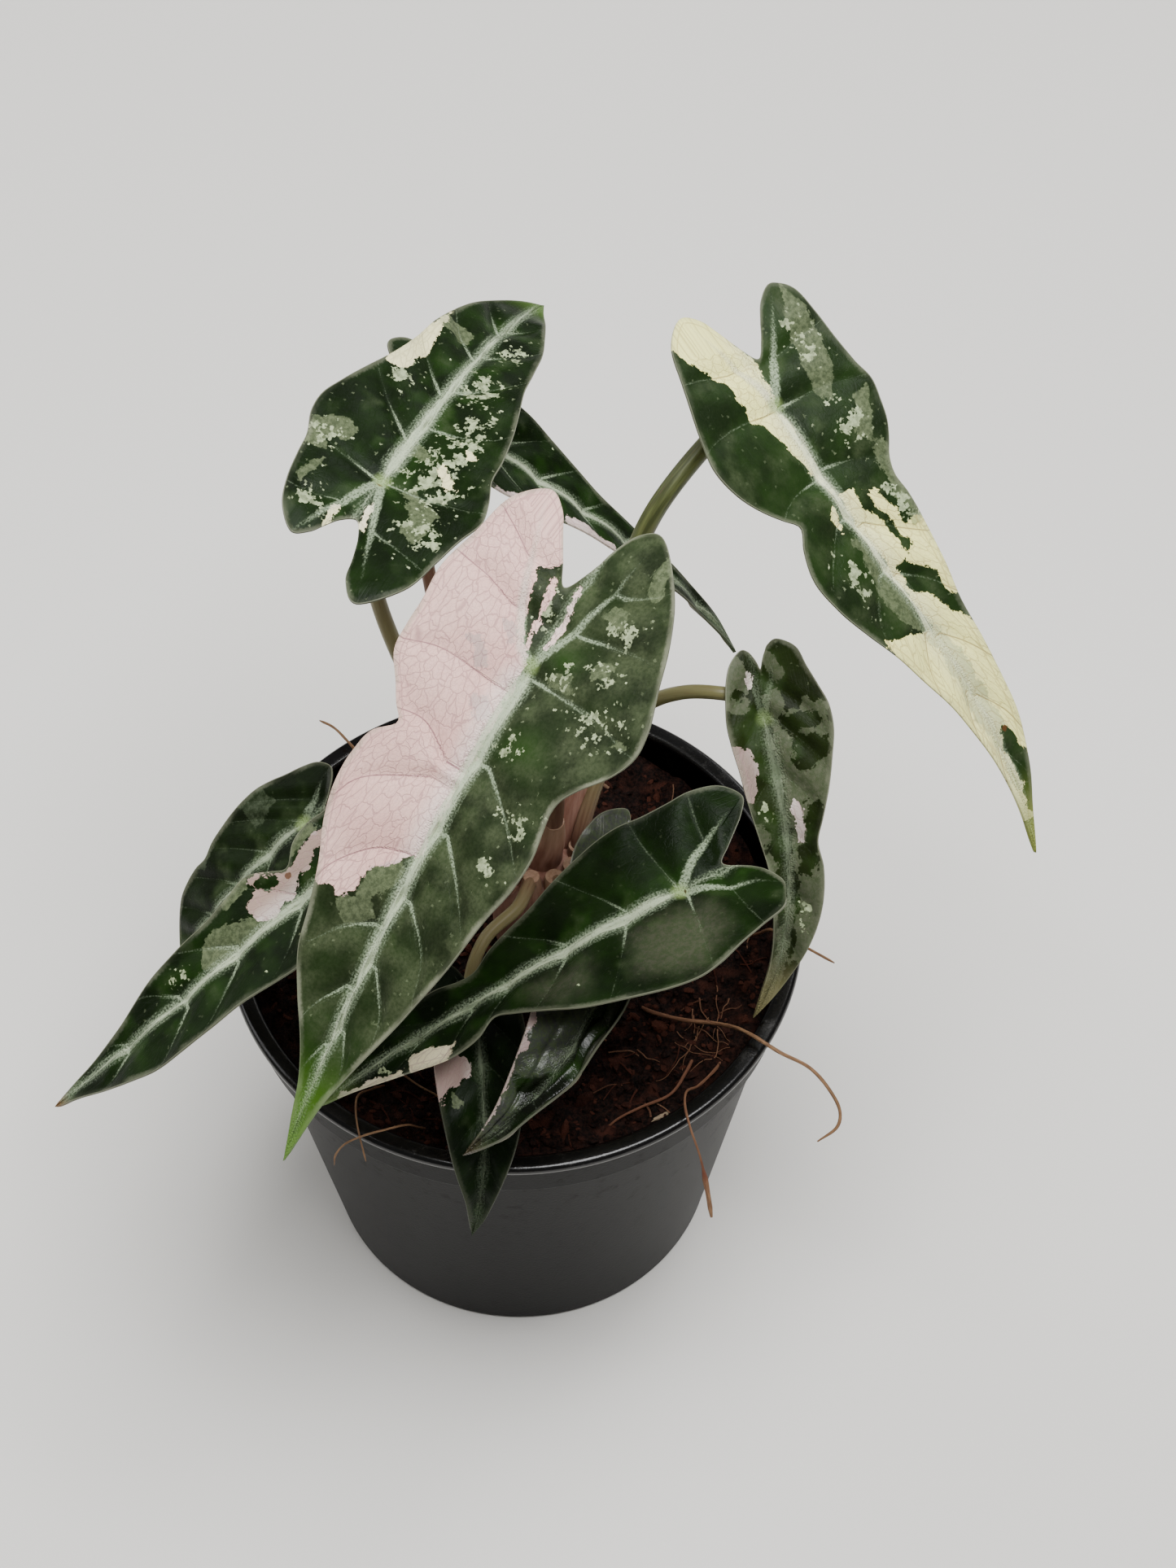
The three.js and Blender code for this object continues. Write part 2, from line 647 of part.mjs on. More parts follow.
function potGeometry() {
  const shoulder = pot.height - pot.collarHeight;
  const floor = pot.recess + pot.wall;
  const footInner = pot.footRadius - pot.footRing;
  const lipBottom = pot.height - pot.lip;
  const round = pot.edgeRound;
  const underside = [
    [0, 0], [pot.hubRadius, 0], [pot.hubRadius + round, pot.recess],
    [footInner - round, pot.recess], [footInner, 0], [pot.footRadius - round, 0],
  ];
  const outside = [
    [pot.footRadius, round], [pot.shoulderRadius, shoulder], [pot.collarRadius - round, shoulder + round],
    [pot.collarRadius, lipBottom], [pot.rimRadius - round, lipBottom], [pot.rimRadius, lipBottom + round],
    [pot.rimRadius, pot.height - round], [pot.rimRadius - round, pot.height],
  ];
  const inside = [
    [pot.mouthRadius + round, pot.height], [pot.mouthRadius, pot.height - round],
    [pot.mouthRadius, shoulder + 2 * pot.wall], [pot.shoulderRadius - pot.wall, shoulder],
    [pot.footRadius - pot.wall, floor + round], [pot.footRadius - pot.wall - round, floor], [0, floor],
  ];
  const corners = [...underside, ...outside, ...inside];
  const profile = corners.map(([radius, height]) => new THREE.Vector2(radius, height));
  let solid = toManifold(new THREE.LatheGeometry(profile, pot.segments).rotateX(Math.PI / 2));
  for (let drain = 0; drain < pot.drains; drain += 1) {
    const angle = (2 * Math.PI * drain) / pot.drains;
    const hole = new THREE.CylinderGeometry(pot.drainRadius, pot.drainRadius, 3 * floor, pot.drainSides);
    hole.rotateX(Math.PI / 2);
    hole.translate(pot.drainCircle * Math.cos(angle), pot.drainCircle * Math.sin(angle), pot.recess);
    solid = solid.subtract(toManifold(hole));
  }
  return fromManifold(solid);
}

// Soil: fills the pot, with a lumpy top that leaves the crown and the roots their plain holes

function soilHeight(x, y) {
  const wave = (lump) => lump.share * Math.sin(lump.x * x + lump.y * y + lump.phase);
  return soil.level + soil.relief * soil.lumps.reduce((sum, lump) => sum + wave(lump), 0);
}

function soilRing(radius, height) {
  const ring = [];
  for (let sector = 0; sector < soil.sectors; sector += 1) {
    const angle = (2 * Math.PI * sector) / soil.sectors;
    const [x, y] = [radius * Math.cos(angle), radius * Math.sin(angle)];
    ring.push(new THREE.Vector3(x, y, height ?? soilHeight(x, y)));
  }
  return ring;
}

function soilGeometry() {
  const shoulder = pot.height - pot.collarHeight;
  const floor = pot.recess + pot.wall + clearance;
  const footInside = pot.footRadius - pot.wall - 2 * clearance;
  const rings = [
    soilRing(footInside - 2 * pot.edgeRound, floor),
    soilRing(footInside - clearance, floor + 2 * pot.edgeRound),
    soilRing(pot.shoulderRadius - pot.wall - 2 * clearance, shoulder),
    soilRing(soil.rings[0], shoulder + 2 * pot.wall),
    ...soil.rings.map((radius) => soilRing(radius)),
  ];
  let solid = toManifold(loft(rings)).subtract(crownSolid(easyClearance));
  for (const name of Object.keys(roots)) {
    solid = solid.subtract(rootSolid(name, clearance));
  }
  return fromManifold(solid);
}

// Materials

const finish = (color, roughness) => new THREE.MeshStandardMaterial({ color, roughness, metalness: 0 });

const leafColours = {
  pink_front: 0xe9cfc9,
  back_left: 0x3c5a37,
  back_right: 0xb9c0a2,
  right_hanging: 0x4a5236,
  front_right: 0x2f4a2b,
  left_back: 0x23351f,
  left_low: 0x39443a,
  back: 0x2d4429,
  front_low: 0x26301f,
  curled: 0x6d716a,
};

// Assembly

const plant = new THREE.Group();

function addMesh(name, geometry, material) {
  const mesh = new THREE.Mesh(geometry, material);
  mesh.name = name;
  plant.add(mesh);
}

addMesh('pot', potGeometry(), finish(0x1c1c1d, 0.45));
addMesh('soil', soilGeometry(), finish(0x2e1d16, 0.95));
addMesh('crown', crownGeometry(), finish(0x8a5f54, 0.6));
for (const name of Object.keys(leaves)) {
  addMesh(`leaf_${name}`, bladeGeometry(leaves[name]), finish(leafColours[name], 0.4));
  addMesh(`stem_${name}`, stemGeometry(name), finish(0x8d8a63, 0.5));
}
for (const name of Object.keys(roots)) {
  addMesh(`root_${name}`, fromManifold(rootSolid(name)), finish(0xb88d6c, 0.7));
}

export default plant;
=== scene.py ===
# %% [markdown]
# # A potted variegated alocasia
# The real thing is a young aroid in a black nursery pot. Ten thin arrow-shaped blades hang from slim stems, and
# their dark green is broken by pale pink, cream and grey sectors. This lesson loads the fixed model of the plant,
# then dresses it piece by piece. Each blade, stem and root follows the same curve as its plain solid, only finer.
# Lengths are in millimetres in the tables, as they would be on a gardener's ruler, and in metres in Blender.

import math
import random
from functools import partial

import bmesh
import bpy
import numpy as np
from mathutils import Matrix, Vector, noise


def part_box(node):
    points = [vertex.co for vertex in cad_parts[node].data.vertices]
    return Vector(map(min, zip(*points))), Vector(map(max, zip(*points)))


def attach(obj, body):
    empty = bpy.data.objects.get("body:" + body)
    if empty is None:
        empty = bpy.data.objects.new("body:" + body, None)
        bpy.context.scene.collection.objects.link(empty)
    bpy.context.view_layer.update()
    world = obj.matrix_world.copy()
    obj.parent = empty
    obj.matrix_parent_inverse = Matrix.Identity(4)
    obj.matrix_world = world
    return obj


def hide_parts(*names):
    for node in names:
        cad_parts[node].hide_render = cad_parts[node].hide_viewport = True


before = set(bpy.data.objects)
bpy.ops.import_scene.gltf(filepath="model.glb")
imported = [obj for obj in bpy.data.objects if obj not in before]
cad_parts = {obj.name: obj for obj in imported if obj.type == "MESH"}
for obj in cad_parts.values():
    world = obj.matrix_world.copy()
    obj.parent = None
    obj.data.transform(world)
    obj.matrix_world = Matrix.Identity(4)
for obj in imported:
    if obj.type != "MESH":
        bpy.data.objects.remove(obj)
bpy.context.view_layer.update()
MM = 0.001
print("the fixed model has", len(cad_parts), "solids")

# %% [markdown]
# ## Small helpers
# Colours are written as the hex values that a paint card would give, so one function turns them into the linear
# values that shaders need. One more adds a shader node of any kind, sets its options and fills its sockets in the
# order in which the node shows them. Every material below is a row of such calls, read from top to bottom. A Mix
# blends colours here and a Map Range eases in and out, as edges in nature do, so those are their usual options.

# %% Colour and node helpers
USUAL_OPTIONS = {"Mix": {"data_type": "RGBA"}, "MapRange": {"interpolation_type": "SMOOTHSTEP"}}
STRAIGHT = {"interpolation_type": "LINEAR"}
TIMES = {"operation": "MULTIPLY"}
TIMES_PLUS = {"operation": "MULTIPLY_ADD"}
MINUS = {"operation": "SUBTRACT"}
LARGER = {"operation": "MAXIMUM"}
SIZE_OF = {"operation": "ABSOLUTE"}


def colour(hex_text):
    """sRGB hex to linear red, green, blue and alpha."""
    parts = [int(hex_text[i:i + 2], 16) / 255 for i in (1, 3, 5)]
    linear = [c / 12.92 if c <= 0.04045 else ((c + 0.055) / 1.055) ** 2.4 for c in parts]
    return (*linear, 1.0)


def add(tree, kind, *values, out=0, **settings):
    """Adds a node and returns one of its outputs, by number or name.

    settings are the node's own options, where they aren't the usual ones, and values fill the sockets that it
    then shows, from the top down: each is a number, a colour as hex text, another node's output, or None to
    leave that socket as it is.
    """
    made = tree.nodes.new("ShaderNode" + kind)
    for name, value in {**USUAL_OPTIONS.get(kind, {}), **settings}.items():
        setattr(made, name, value)
    for socket, value in zip([s for s in made.inputs if s.enabled], values):
        if isinstance(value, bpy.types.NodeSocket):
            tree.links.new(value, socket)
        elif value is not None:
            socket.default_value = colour(value) if isinstance(value, str) else value
    return made.outputs[out] if isinstance(out, str) else [s for s in made.outputs if s.enabled][out]


def new_material(name, **constants):
    """A material whose main shader's sockets are set to constants, and add, bound to its node tree."""
    made = bpy.data.materials.new(name)
    made.use_nodes = True
    shader = made.node_tree.nodes["Principled BSDF"]
    for socket, value in constants.items():
        shader.inputs[socket.replace("_", " ")].default_value = value
    return made, partial(add, made.node_tree)


def feed(made, **sockets):
    """Links node outputs to sockets of the material's main shader."""
    shader = made.node_tree.nodes["Principled BSDF"]
    for socket, value in sockets.items():
        made.node_tree.links.new(value, shader.inputs[socket.replace("_", " ")])


print("a grey of #808080 is", round(colour("#808080")[0], 3), "in linear light")


# %% [markdown]
# ## From points to pieces
# Everything here is grown, so nearly every piece is either a thin sheet or a round strand along a curve. Both are
# made as plain lists of points and faces. A piece can carry numbers at its points, such as how far along a stem
# a point is, and its material reads them.

# %% Mesh helper
CREASE = math.radians(50)


def add_object(name, data):
    """An object of that name in the scene, for a mesh, a lamp or a camera."""
    made = bpy.data.objects.new(name, data)
    bpy.context.scene.collection.objects.link(made)
    return made


def add_piece(name, points, faces, skins, face_skins=None, numbers=None, stands_for=()):
    """Makes a mesh from millimetre points, smooth up to the CREASE angle, and ties it to the fixed model."""
    mesh = bpy.data.meshes.new(name)
    mesh.from_pydata((np.asarray(points, float) * MM).tolist(), [], [list(map(int, face)) for face in faces])
    for skin in skins:
        mesh.materials.append(skin)
    if face_skins is not None:
        mesh.polygons.foreach_set("material_index", np.asarray(face_skins, np.int32))
    for key, values in (numbers or {}).items():
        values = np.asarray(values, np.float32)
        kind, field = ("FLOAT_VECTOR", "vector") if values.ndim == 2 else ("FLOAT", "value")
        mesh.attributes.new(key, kind, "POINT").data.foreach_set(field, values.ravel())
    mesh.polygons.foreach_set("use_smooth", np.ones(len(mesh.polygons), bool))
    mesh.set_sharp_from_angle(angle=CREASE)
    mesh.update()
    piece = add_object(name, mesh)
    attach(piece, "root")
    if stands_for:
        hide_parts(*stands_for)
    return piece


def join(parts):
    """Several meshes, each given as points, faces and numbers, as one."""
    points, faces, numbers, start = [], [], {}, 0
    for part_points, part_faces, part_numbers in parts:
        points.append(part_points)
        faces.extend(tuple(v + start for v in face) for face in part_faces)
        for key, values in part_numbers.items():
            numbers.setdefault(key, []).append(values)
        start += len(part_points)
    return np.vstack(points), faces, {key: np.concatenate(values) for key, values in numbers.items()}


print("edges sharper than", round(math.degrees(CREASE)), "degrees stay crisp")

# %% Curves and strands
CURVE_STEPS = 24
LEANING = (0.3, 0.2, 1.0)

# The radius of a strand's ring in units of noise: about 16 fibres go around it
FIBRE_RING = 2.5


def unit(vectors):
    """Vectors scaled to length one."""
    return vectors / np.linalg.norm(vectors, axis=-1, keepdims=True)


def around(count):
    """Angles at even steps around a circle."""
    return np.linspace(0, 2 * math.pi, count, endpoint=False)


def distance_along(points):
    """How far each point of a line is from its start, measured along it."""
    return np.concatenate([[0], np.cumsum(np.linalg.norm(np.diff(points, axis=0), axis=1))])


def smooth_path(points, steps):
    """Evenly spaced points on a centripetal spline through the given ones."""
    p = np.asarray(points, float)
    p = np.vstack([2 * p[0] - p[1], p, 2 * p[-1] - p[-2]])
    fine = []
    share = np.linspace(0, 1, CURVE_STEPS, endpoint=False)[:, None]
    for a, b, c, d in zip(p[:-3], p[1:-2], p[2:-1], p[3:]):
        gaps = [max(np.linalg.norm(v) ** 0.5, 1e-4) for v in (b - a, c - b, d - c)]
        start = ((b - a) / gaps[0] - (c - a) / (gaps[0] + gaps[1]) + (c - b) / gaps[1]) * gaps[1]
        end = ((c - b) / gaps[1] - (d - b) / (gaps[1] + gaps[2]) + (d - c) / gaps[2]) * gaps[1]
        curve = b + start * share + (3 * (c - b) - 2 * start - end) * share ** 2
        fine.append(curve + (2 * (b - c) + start + end) * share ** 3)
    fine = np.vstack(fine + [p[-2:-1]])
    length = distance_along(fine)
    even = np.linspace(0, length[-1], steps + 1)
    return np.stack([np.interp(even, length, column) for column in fine.T], 1)


def ring_cells(rings, sides):
    """The corner numbers of each cell in a net of closed rings."""
    for start in range(0, (rings - 1) * sides, sides):
        for side in range(sides):
            a, b = start + side, start + (side + 1) % sides
            yield a, b, b + sides, a + sides


def tube_faces(rings, sides):
    """The cells of a tube, and a face over each of its ends."""
    ends = [tuple(range(sides))[::-1], tuple(range((rings - 1) * sides, rings * sides))]
    return [*ring_cells(rings, sides), *ends]


def strand(centres, radii, sides, flat=1.0):
    """A closed tube along centres, round or flattened: its points, faces and share of the way along."""
    ahead = unit(np.gradient(centres, axis=0))
    across = [unit(np.cross(ahead[0], LEANING))]
    for step in ahead[1:]:
        across.append(unit(across[-1] - step * (across[-1] @ step)))
    across = np.array(across)
    other = np.cross(ahead, across)
    angles = around(sides)[None, :, None]
    ring = np.cos(angles) * across[:, None] + flat * np.sin(angles) * other[:, None]
    points = centres[:, None] + np.asarray(radii)[:, None, None] * ring
    run = np.repeat(np.linspace(0, 1, len(centres)), sides)
    return points.reshape(-1, 3), tube_faces(len(centres), sides), run


def strand_place(centres, sides, stretch):
    """Places for lengthwise fibres: around the strand, and slowly along it."""
    ring = np.stack([np.cos(around(sides)), np.sin(around(sides))], 1) * FIBRE_RING
    rows = [np.column_stack([ring, np.full(sides, where / stretch)]) for where in distance_along(centres)]
    return np.concatenate(rows)


print("helpers ready")

# %% [markdown]
# ## The blades' measures
# A blade is read off against its own midrib. joint and tip are the midrib's ends. rise and sweep bend it, at a
# third and at two thirds of its length, roll turns the blade about it, and fold lifts both halves like a
# half-open book. Each row of widths gives the distance from the joint and the half-widths on the left and right.
# The two lobes run back past the joint to a notch.

# %% Blade measures in millimetres
BLADES = {
    "pink_front": dict(
        joint=(5, -12, 195), tip=(-42, -75, 125), rise=(9, 8), sweep=(0, 0), roll=0, fold=12,
        widths=[
            (0, 29, 24), (5, 29.5, 24), (10, 27, 23.5), (15, 22.5, 20), (18, 20.5, 18), (20.5, 20, 16),
            (24, 20.5, 19.3), (29, 21.5, 20.8), (35, 21, 21), (42, 19, 19.7), (50, 17.3, 16.7),
            (58, 15.3, 14.8), (66, 12.7, 13.2), (74, 9.8, 9.7), (81, 7, 6), (88, 4.4, 3.4), (96, 2.2, 1.7)],
        notch=(-15.5, -3),
        left=[(-7, 26), (-15, 22.8), (-24, 17), (-32, 8.5), (-31, 3.8), (-26, 1), (-20.5, -0.6)],
        right=[(-7, -24.5), (-15, -22.8), (-24, -21), (-29.3, -16), (-27.5, -11.8), (-23.5, -8.8), (-19.5, -6)]),
    "back_left": dict(
        joint=(-24, 33, 195), tip=(6, 104, 170), rise=(7, 7), sweep=(0, 2), roll=12, fold=8,
        widths=[
            (0, 17, 21.5), (5, 19, 20.3), (10, 19.5, 18.3), (16, 18, 17.7), (23, 16, 16.5), (31, 13.5, 14.5),
            (39, 12.2, 12.4), (47, 11.7, 11.3), (55, 10.6, 10), (63, 8.6, 7.4), (70, 6, 4.8), (76, 3, 2)],
        notch=(-11, -0.5),
        left=[(-5, 16.2), (-11, 15), (-16.5, 12.8), (-20.5, 8.5), (-18.5, 5.5), (-15.5, 3.7), (-12.8, 2)],
        right=[(-6, -20), (-13, -18.5), (-21, -16.3), (-27.7, -10), (-24.5, -5.8), (-19.5, -4.4), (-14.5, -2.8)]),
    "back_right": dict(
        joint=(51, 48, 200), tip=(105, -4, 125), rise=(9, 8), sweep=(-6, 8), roll=0, fold=10,
        widths=[
            (0, 19, 20.3), (5, 20.2, 21.5), (10, 19.5, 20), (15, 18, 16.5), (18, 16.3, 13.8), (20.5, 14.6, 11.5),
            (24, 13.3, 14), (29, 13.2, 16.3), (36, 12.4, 16), (44, 11, 13.4), (52, 9.2, 10.6), (61, 8.3, 8.1),
            (70, 7.6, 5.6), (80, 6.5, 3.7), (88, 4.6, 2.2), (96, 2.2, 1.4)],
        notch=(-9.3, 2),
        left=[(-6, 18), (-12, 17.2), (-18, 16), (-21, 12.5), (-19, 9), (-15.5, 6.5), (-12.3, 4.6)],
        right=[(-6, -18.7), (-12, -16.8), (-18.5, -14.2), (-22.7, -9), (-21, -5), (-17.3, -2.6), (-13, -0.4)]),
    "right_hanging": dict(
        joint=(50, 11, 150), tip=(49, -24, 95), rise=(7, 6), sweep=(6, 10), roll=0, fold=18,
        widths=[
            (0, 13.5, 8), (4, 13.5, 8), (9, 12, 7.5), (15, 10, 7), (20, 8, 6.3), (24.5, 6.4, 5.4),
            (29, 7.2, 4.4), (35, 7.2, 3.6), (41, 6.4, 3), (47, 5, 2.3), (53, 3.2, 1.8), (59, 1.6, 1.2)],
        notch=(-9.4, 1.5),
        left=[(-4, 12.2), (-8, 10.8), (-12, 9.6), (-14.4, 6.3), (-13.8, 4.2), (-12.4, 3.1), (-11, 2.3)],
        right=[(-4, -7.3), (-8, -6.3), (-11.5, -4.6), (-13.8, -1.8), (-13.3, -0.2), (-12.1, 0.6), (-10.8, 1.1)]),
    "front_right": dict(
        joint=(33, -24, 140), tip=(-38, -51, 105), rise=(7, 6), sweep=(2, 1.5), roll=0, fold=12,
        widths=[
            (0, 21, 17.5), (4, 22, 17.8), (9, 21.3, 17.3), (15, 19.5, 15.8), (21, 17, 13.8), (27, 14.2, 11.5),
            (33, 10.5, 9.7), (38, 7.4, 8), (42.5, 5.6, 5.8), (46, 8, 5.8), (51, 8.9, 6.8), (57, 8, 6.5),
            (64, 5.8, 5.2), (71, 3.5, 3.5), (78, 1.6, 1.7)],
        notch=(-10, -1.6),
        left=[(-5, 18.7), (-10, 17), (-15.5, 15), (-18.2, 9.5), (-17, 5), (-15, 2.4), (-12.6, 0.5)],
        right=[
            (-6, -17.6), (-11, -17.9), (-16.5, -16.6), (-19.7, -12.7), (-18, -9.4), (-15.4, -6.8),
            (-12.6, -4.2)]),
    "left_back": dict(
        joint=(-41, -4, 135), tip=(-68, -14, 101), rise=(6, 5), sweep=(3, 2), roll=0, fold=12,
        widths=[
            (0, 12, 12), (3, 12.8, 12.8), (7, 13, 13), (11, 12.9, 12.8), (15, 12.3, 12.2), (19, 11.3, 11.3),
            (22.5, 10.1, 10), (26, 10, 10.2), (30, 9.4, 9.7), (34, 8, 8.4), (37.5, 5.8, 6), (41, 3, 3.2)],
        notch=(-5, 0.6),
        left=[(-3, 11.6), (-6, 10.6), (-9, 9), (-11, 6.2), (-10.2, 4.2), (-8.6, 2.8), (-6.8, 1.6)],
        right=[(-3, -10.9), (-6.5, -9.8), (-9.5, -8.4), (-11.1, -6), (-10.3, -4), (-8.6, -2.3), (-6.8, -0.8)]),
    "left_low": dict(
        joint=(-29, -23, 150), tip=(-91, -47, 98), rise=(7, 6), sweep=(4, 6), roll=0, fold=14,
        widths=[
            (0, 17, 12), (4, 17, 12), (8.5, 16.6, 10.5), (12, 16, 7.4), (15, 15.4, 9), (19, 14.7, 11.3),
            (25, 13.4, 10.7), (32, 12.2, 9.6), (40, 11.7, 9.2), (48, 11.5, 8.2), (54, 10.7, 6.6), (61, 8.4, 4.5),
            (68, 5.6, 2.8), (76, 2.6, 1.6)],
        notch=(-9, 0),
        left=[(-5, 16), (-10, 15), (-15, 13), (-18, 9), (-16.8, 6), (-14.4, 3.9), (-11.6, 1.9)],
        right=[(-5, -12.6), (-10, -12.6), (-15, -11.6), (-18, -8), (-16.8, -5.2), (-14.4, -3.2), (-11.6, -1.4)]),
    "back": dict(
        joint=(-14, 72, 172), tip=(47, 58, 112), rise=(5, 8), sweep=(-6, 0), roll=-12, fold=12,
        widths=[
            (0, 13, 14), (6, 14, 15.2), (12, 14.2, 15.6), (18, 13.4, 14.6), (24, 11.6, 12.4), (31, 9, 9.6),
            (38, 6.9, 7.8), (46, 5.2, 6.2), (55, 4.2, 4.4), (64, 3.4, 3), (72, 2.7, 2.4), (80, 1.6, 1.6)],
        notch=(-8, -0.5),
        left=[(-5, 12.6), (-10, 11.9), (-14.6, 10.4), (-17, 7.5), (-16, 5), (-13.6, 3.1), (-10.8, 1.2)],
        right=[(-5, -13.4), (-10, -12.4), (-14.6, -10.8), (-17, -8), (-16, -5.2), (-13.6, -3.3), (-10.8, -1.7)]),
    "front_low": dict(
        joint=(-7, -34, 112), tip=(-8, -66, 80), rise=(10, 14), sweep=(3, 4), roll=0, fold=28,
        widths=[
            (0, 10, 10), (5, 10.5, 10.5), (10, 10.1, 10.3), (16, 9.2, 9.6), (21, 8, 8.6), (26, 6.4, 7.2),
            (31, 4.6, 5.4), (36, 2.9, 3.3), (41, 1.5, 1.6)],
        notch=(-5, 0),
        left=[(-3, 9.8), (-6.5, 9), (-9.2, 7.6), (-10.5, 5.5), (-9.8, 3.8), (-8.4, 2.4), (-6.8, 1.2)],
        right=[(-3, -9.8), (-6.5, -9), (-9.2, -7.6), (-10.5, -5.5), (-9.8, -3.8), (-8.4, -2.4), (-6.8, -1.2)]),
    "curled": dict(
        joint=(23, -15, 124), tip=(-9, -64, 108), rise=(6, 7), sweep=(9, 14), roll=0, fold=38,
        widths=[
            (0, 12, 14.5), (5, 12, 14.3), (11, 11, 13.5), (18, 9.5, 12.8), (25, 8.3, 12.2), (31, 7.2, 11.4),
            (37, 6.3, 10), (43, 4.8, 7.9), (49, 3.2, 5.5), (55, 1.9, 2.7)],
        notch=(-6, 0),
        left=[(-4, 11.6), (-8, 10.4), (-11.5, 8.6), (-13.5, 6), (-12.4, 4), (-10.6, 2.5), (-8.2, 1.2)],
        right=[(-6, -14.4), (-11.5, -12.6), (-16.5, -9.8), (-20.5, -5), (-18, -3), (-14, -1.9), (-9.8, -0.9)]),
}
print(len(BLADES), "blades measured")

# %% [markdown]
# ## The blades' markings
# The colour of a variegated leaf comes in sectors. A sector that has lost its green is pink or cream, a sector
# that lost it only in one layer is grey-green, and fine flecks lie in between. The sectors below are outlines in
# the same measure as the blades: along the midrib, and across it, left positive. Leaves of one plant share most
# of their habits, so these stand once in USUAL, and each blade's entry says only what is its own: the colour of
# its pale sectors, how much of the green is washed with grey, how thickly it is flecked, its tip's colour, the
# midrib's half-width, and where its side veins run. Where those can't be seen, ribs only says where they start.

# %% Habits that the blades share
USUAL = dict(
    # Flesh: two clouded greens, the grey dust on them (on pink_front a painted sheen), and how lush the fresher
    # green is
    deep="#091405", mid="#13240a", veil_and_sheen_grey="#3d4730", lush=1.0, fresh=(),
    # Grey sectors: two tones of grain, their cover, the softness of the edge in mm and how broken it is
    grey="#6a7456", grey_low="#4a543c", veil=0.8, soft=0.12, broken=1.0,
    # Pale sectors: the net of fine veins, what shows under a grey sector, and the glow beside the midrib
    net="#a98a88", veiled="#b9a9a4", core="#f4ebe3",
    # Veins: the midrib's silver, how bright all silver is, how far out a side vein shines, the knot at the joint
    silver="#bac6a8", vein=0.9, rib_reach=0.95, knot=0.6, lobe_veins=None, left_ribs=None, right_ribs=None,
    # Margin and tip: a pale line and a wider pale band, and how far along the tip's colour starts
    rim=0.4, band=0.24, tip_from=0.84,
    # Wax: roughness and specular level. The latter is low, because a leaf's gloss is broken up by its cells
    satin=0.36, sheen=0.07,
    # Waves of the margin in mm, pressed-in creases, dark islands in a sector, and dry brown scars
    ruffle=0.35, creases=(), darks=(), scars=(),
    # No pale or grey sectors and no thickly flecked spots, unless a blade has its own
    patches=(), greys=(), flecked=())
print(len(USUAL), "shared habits")

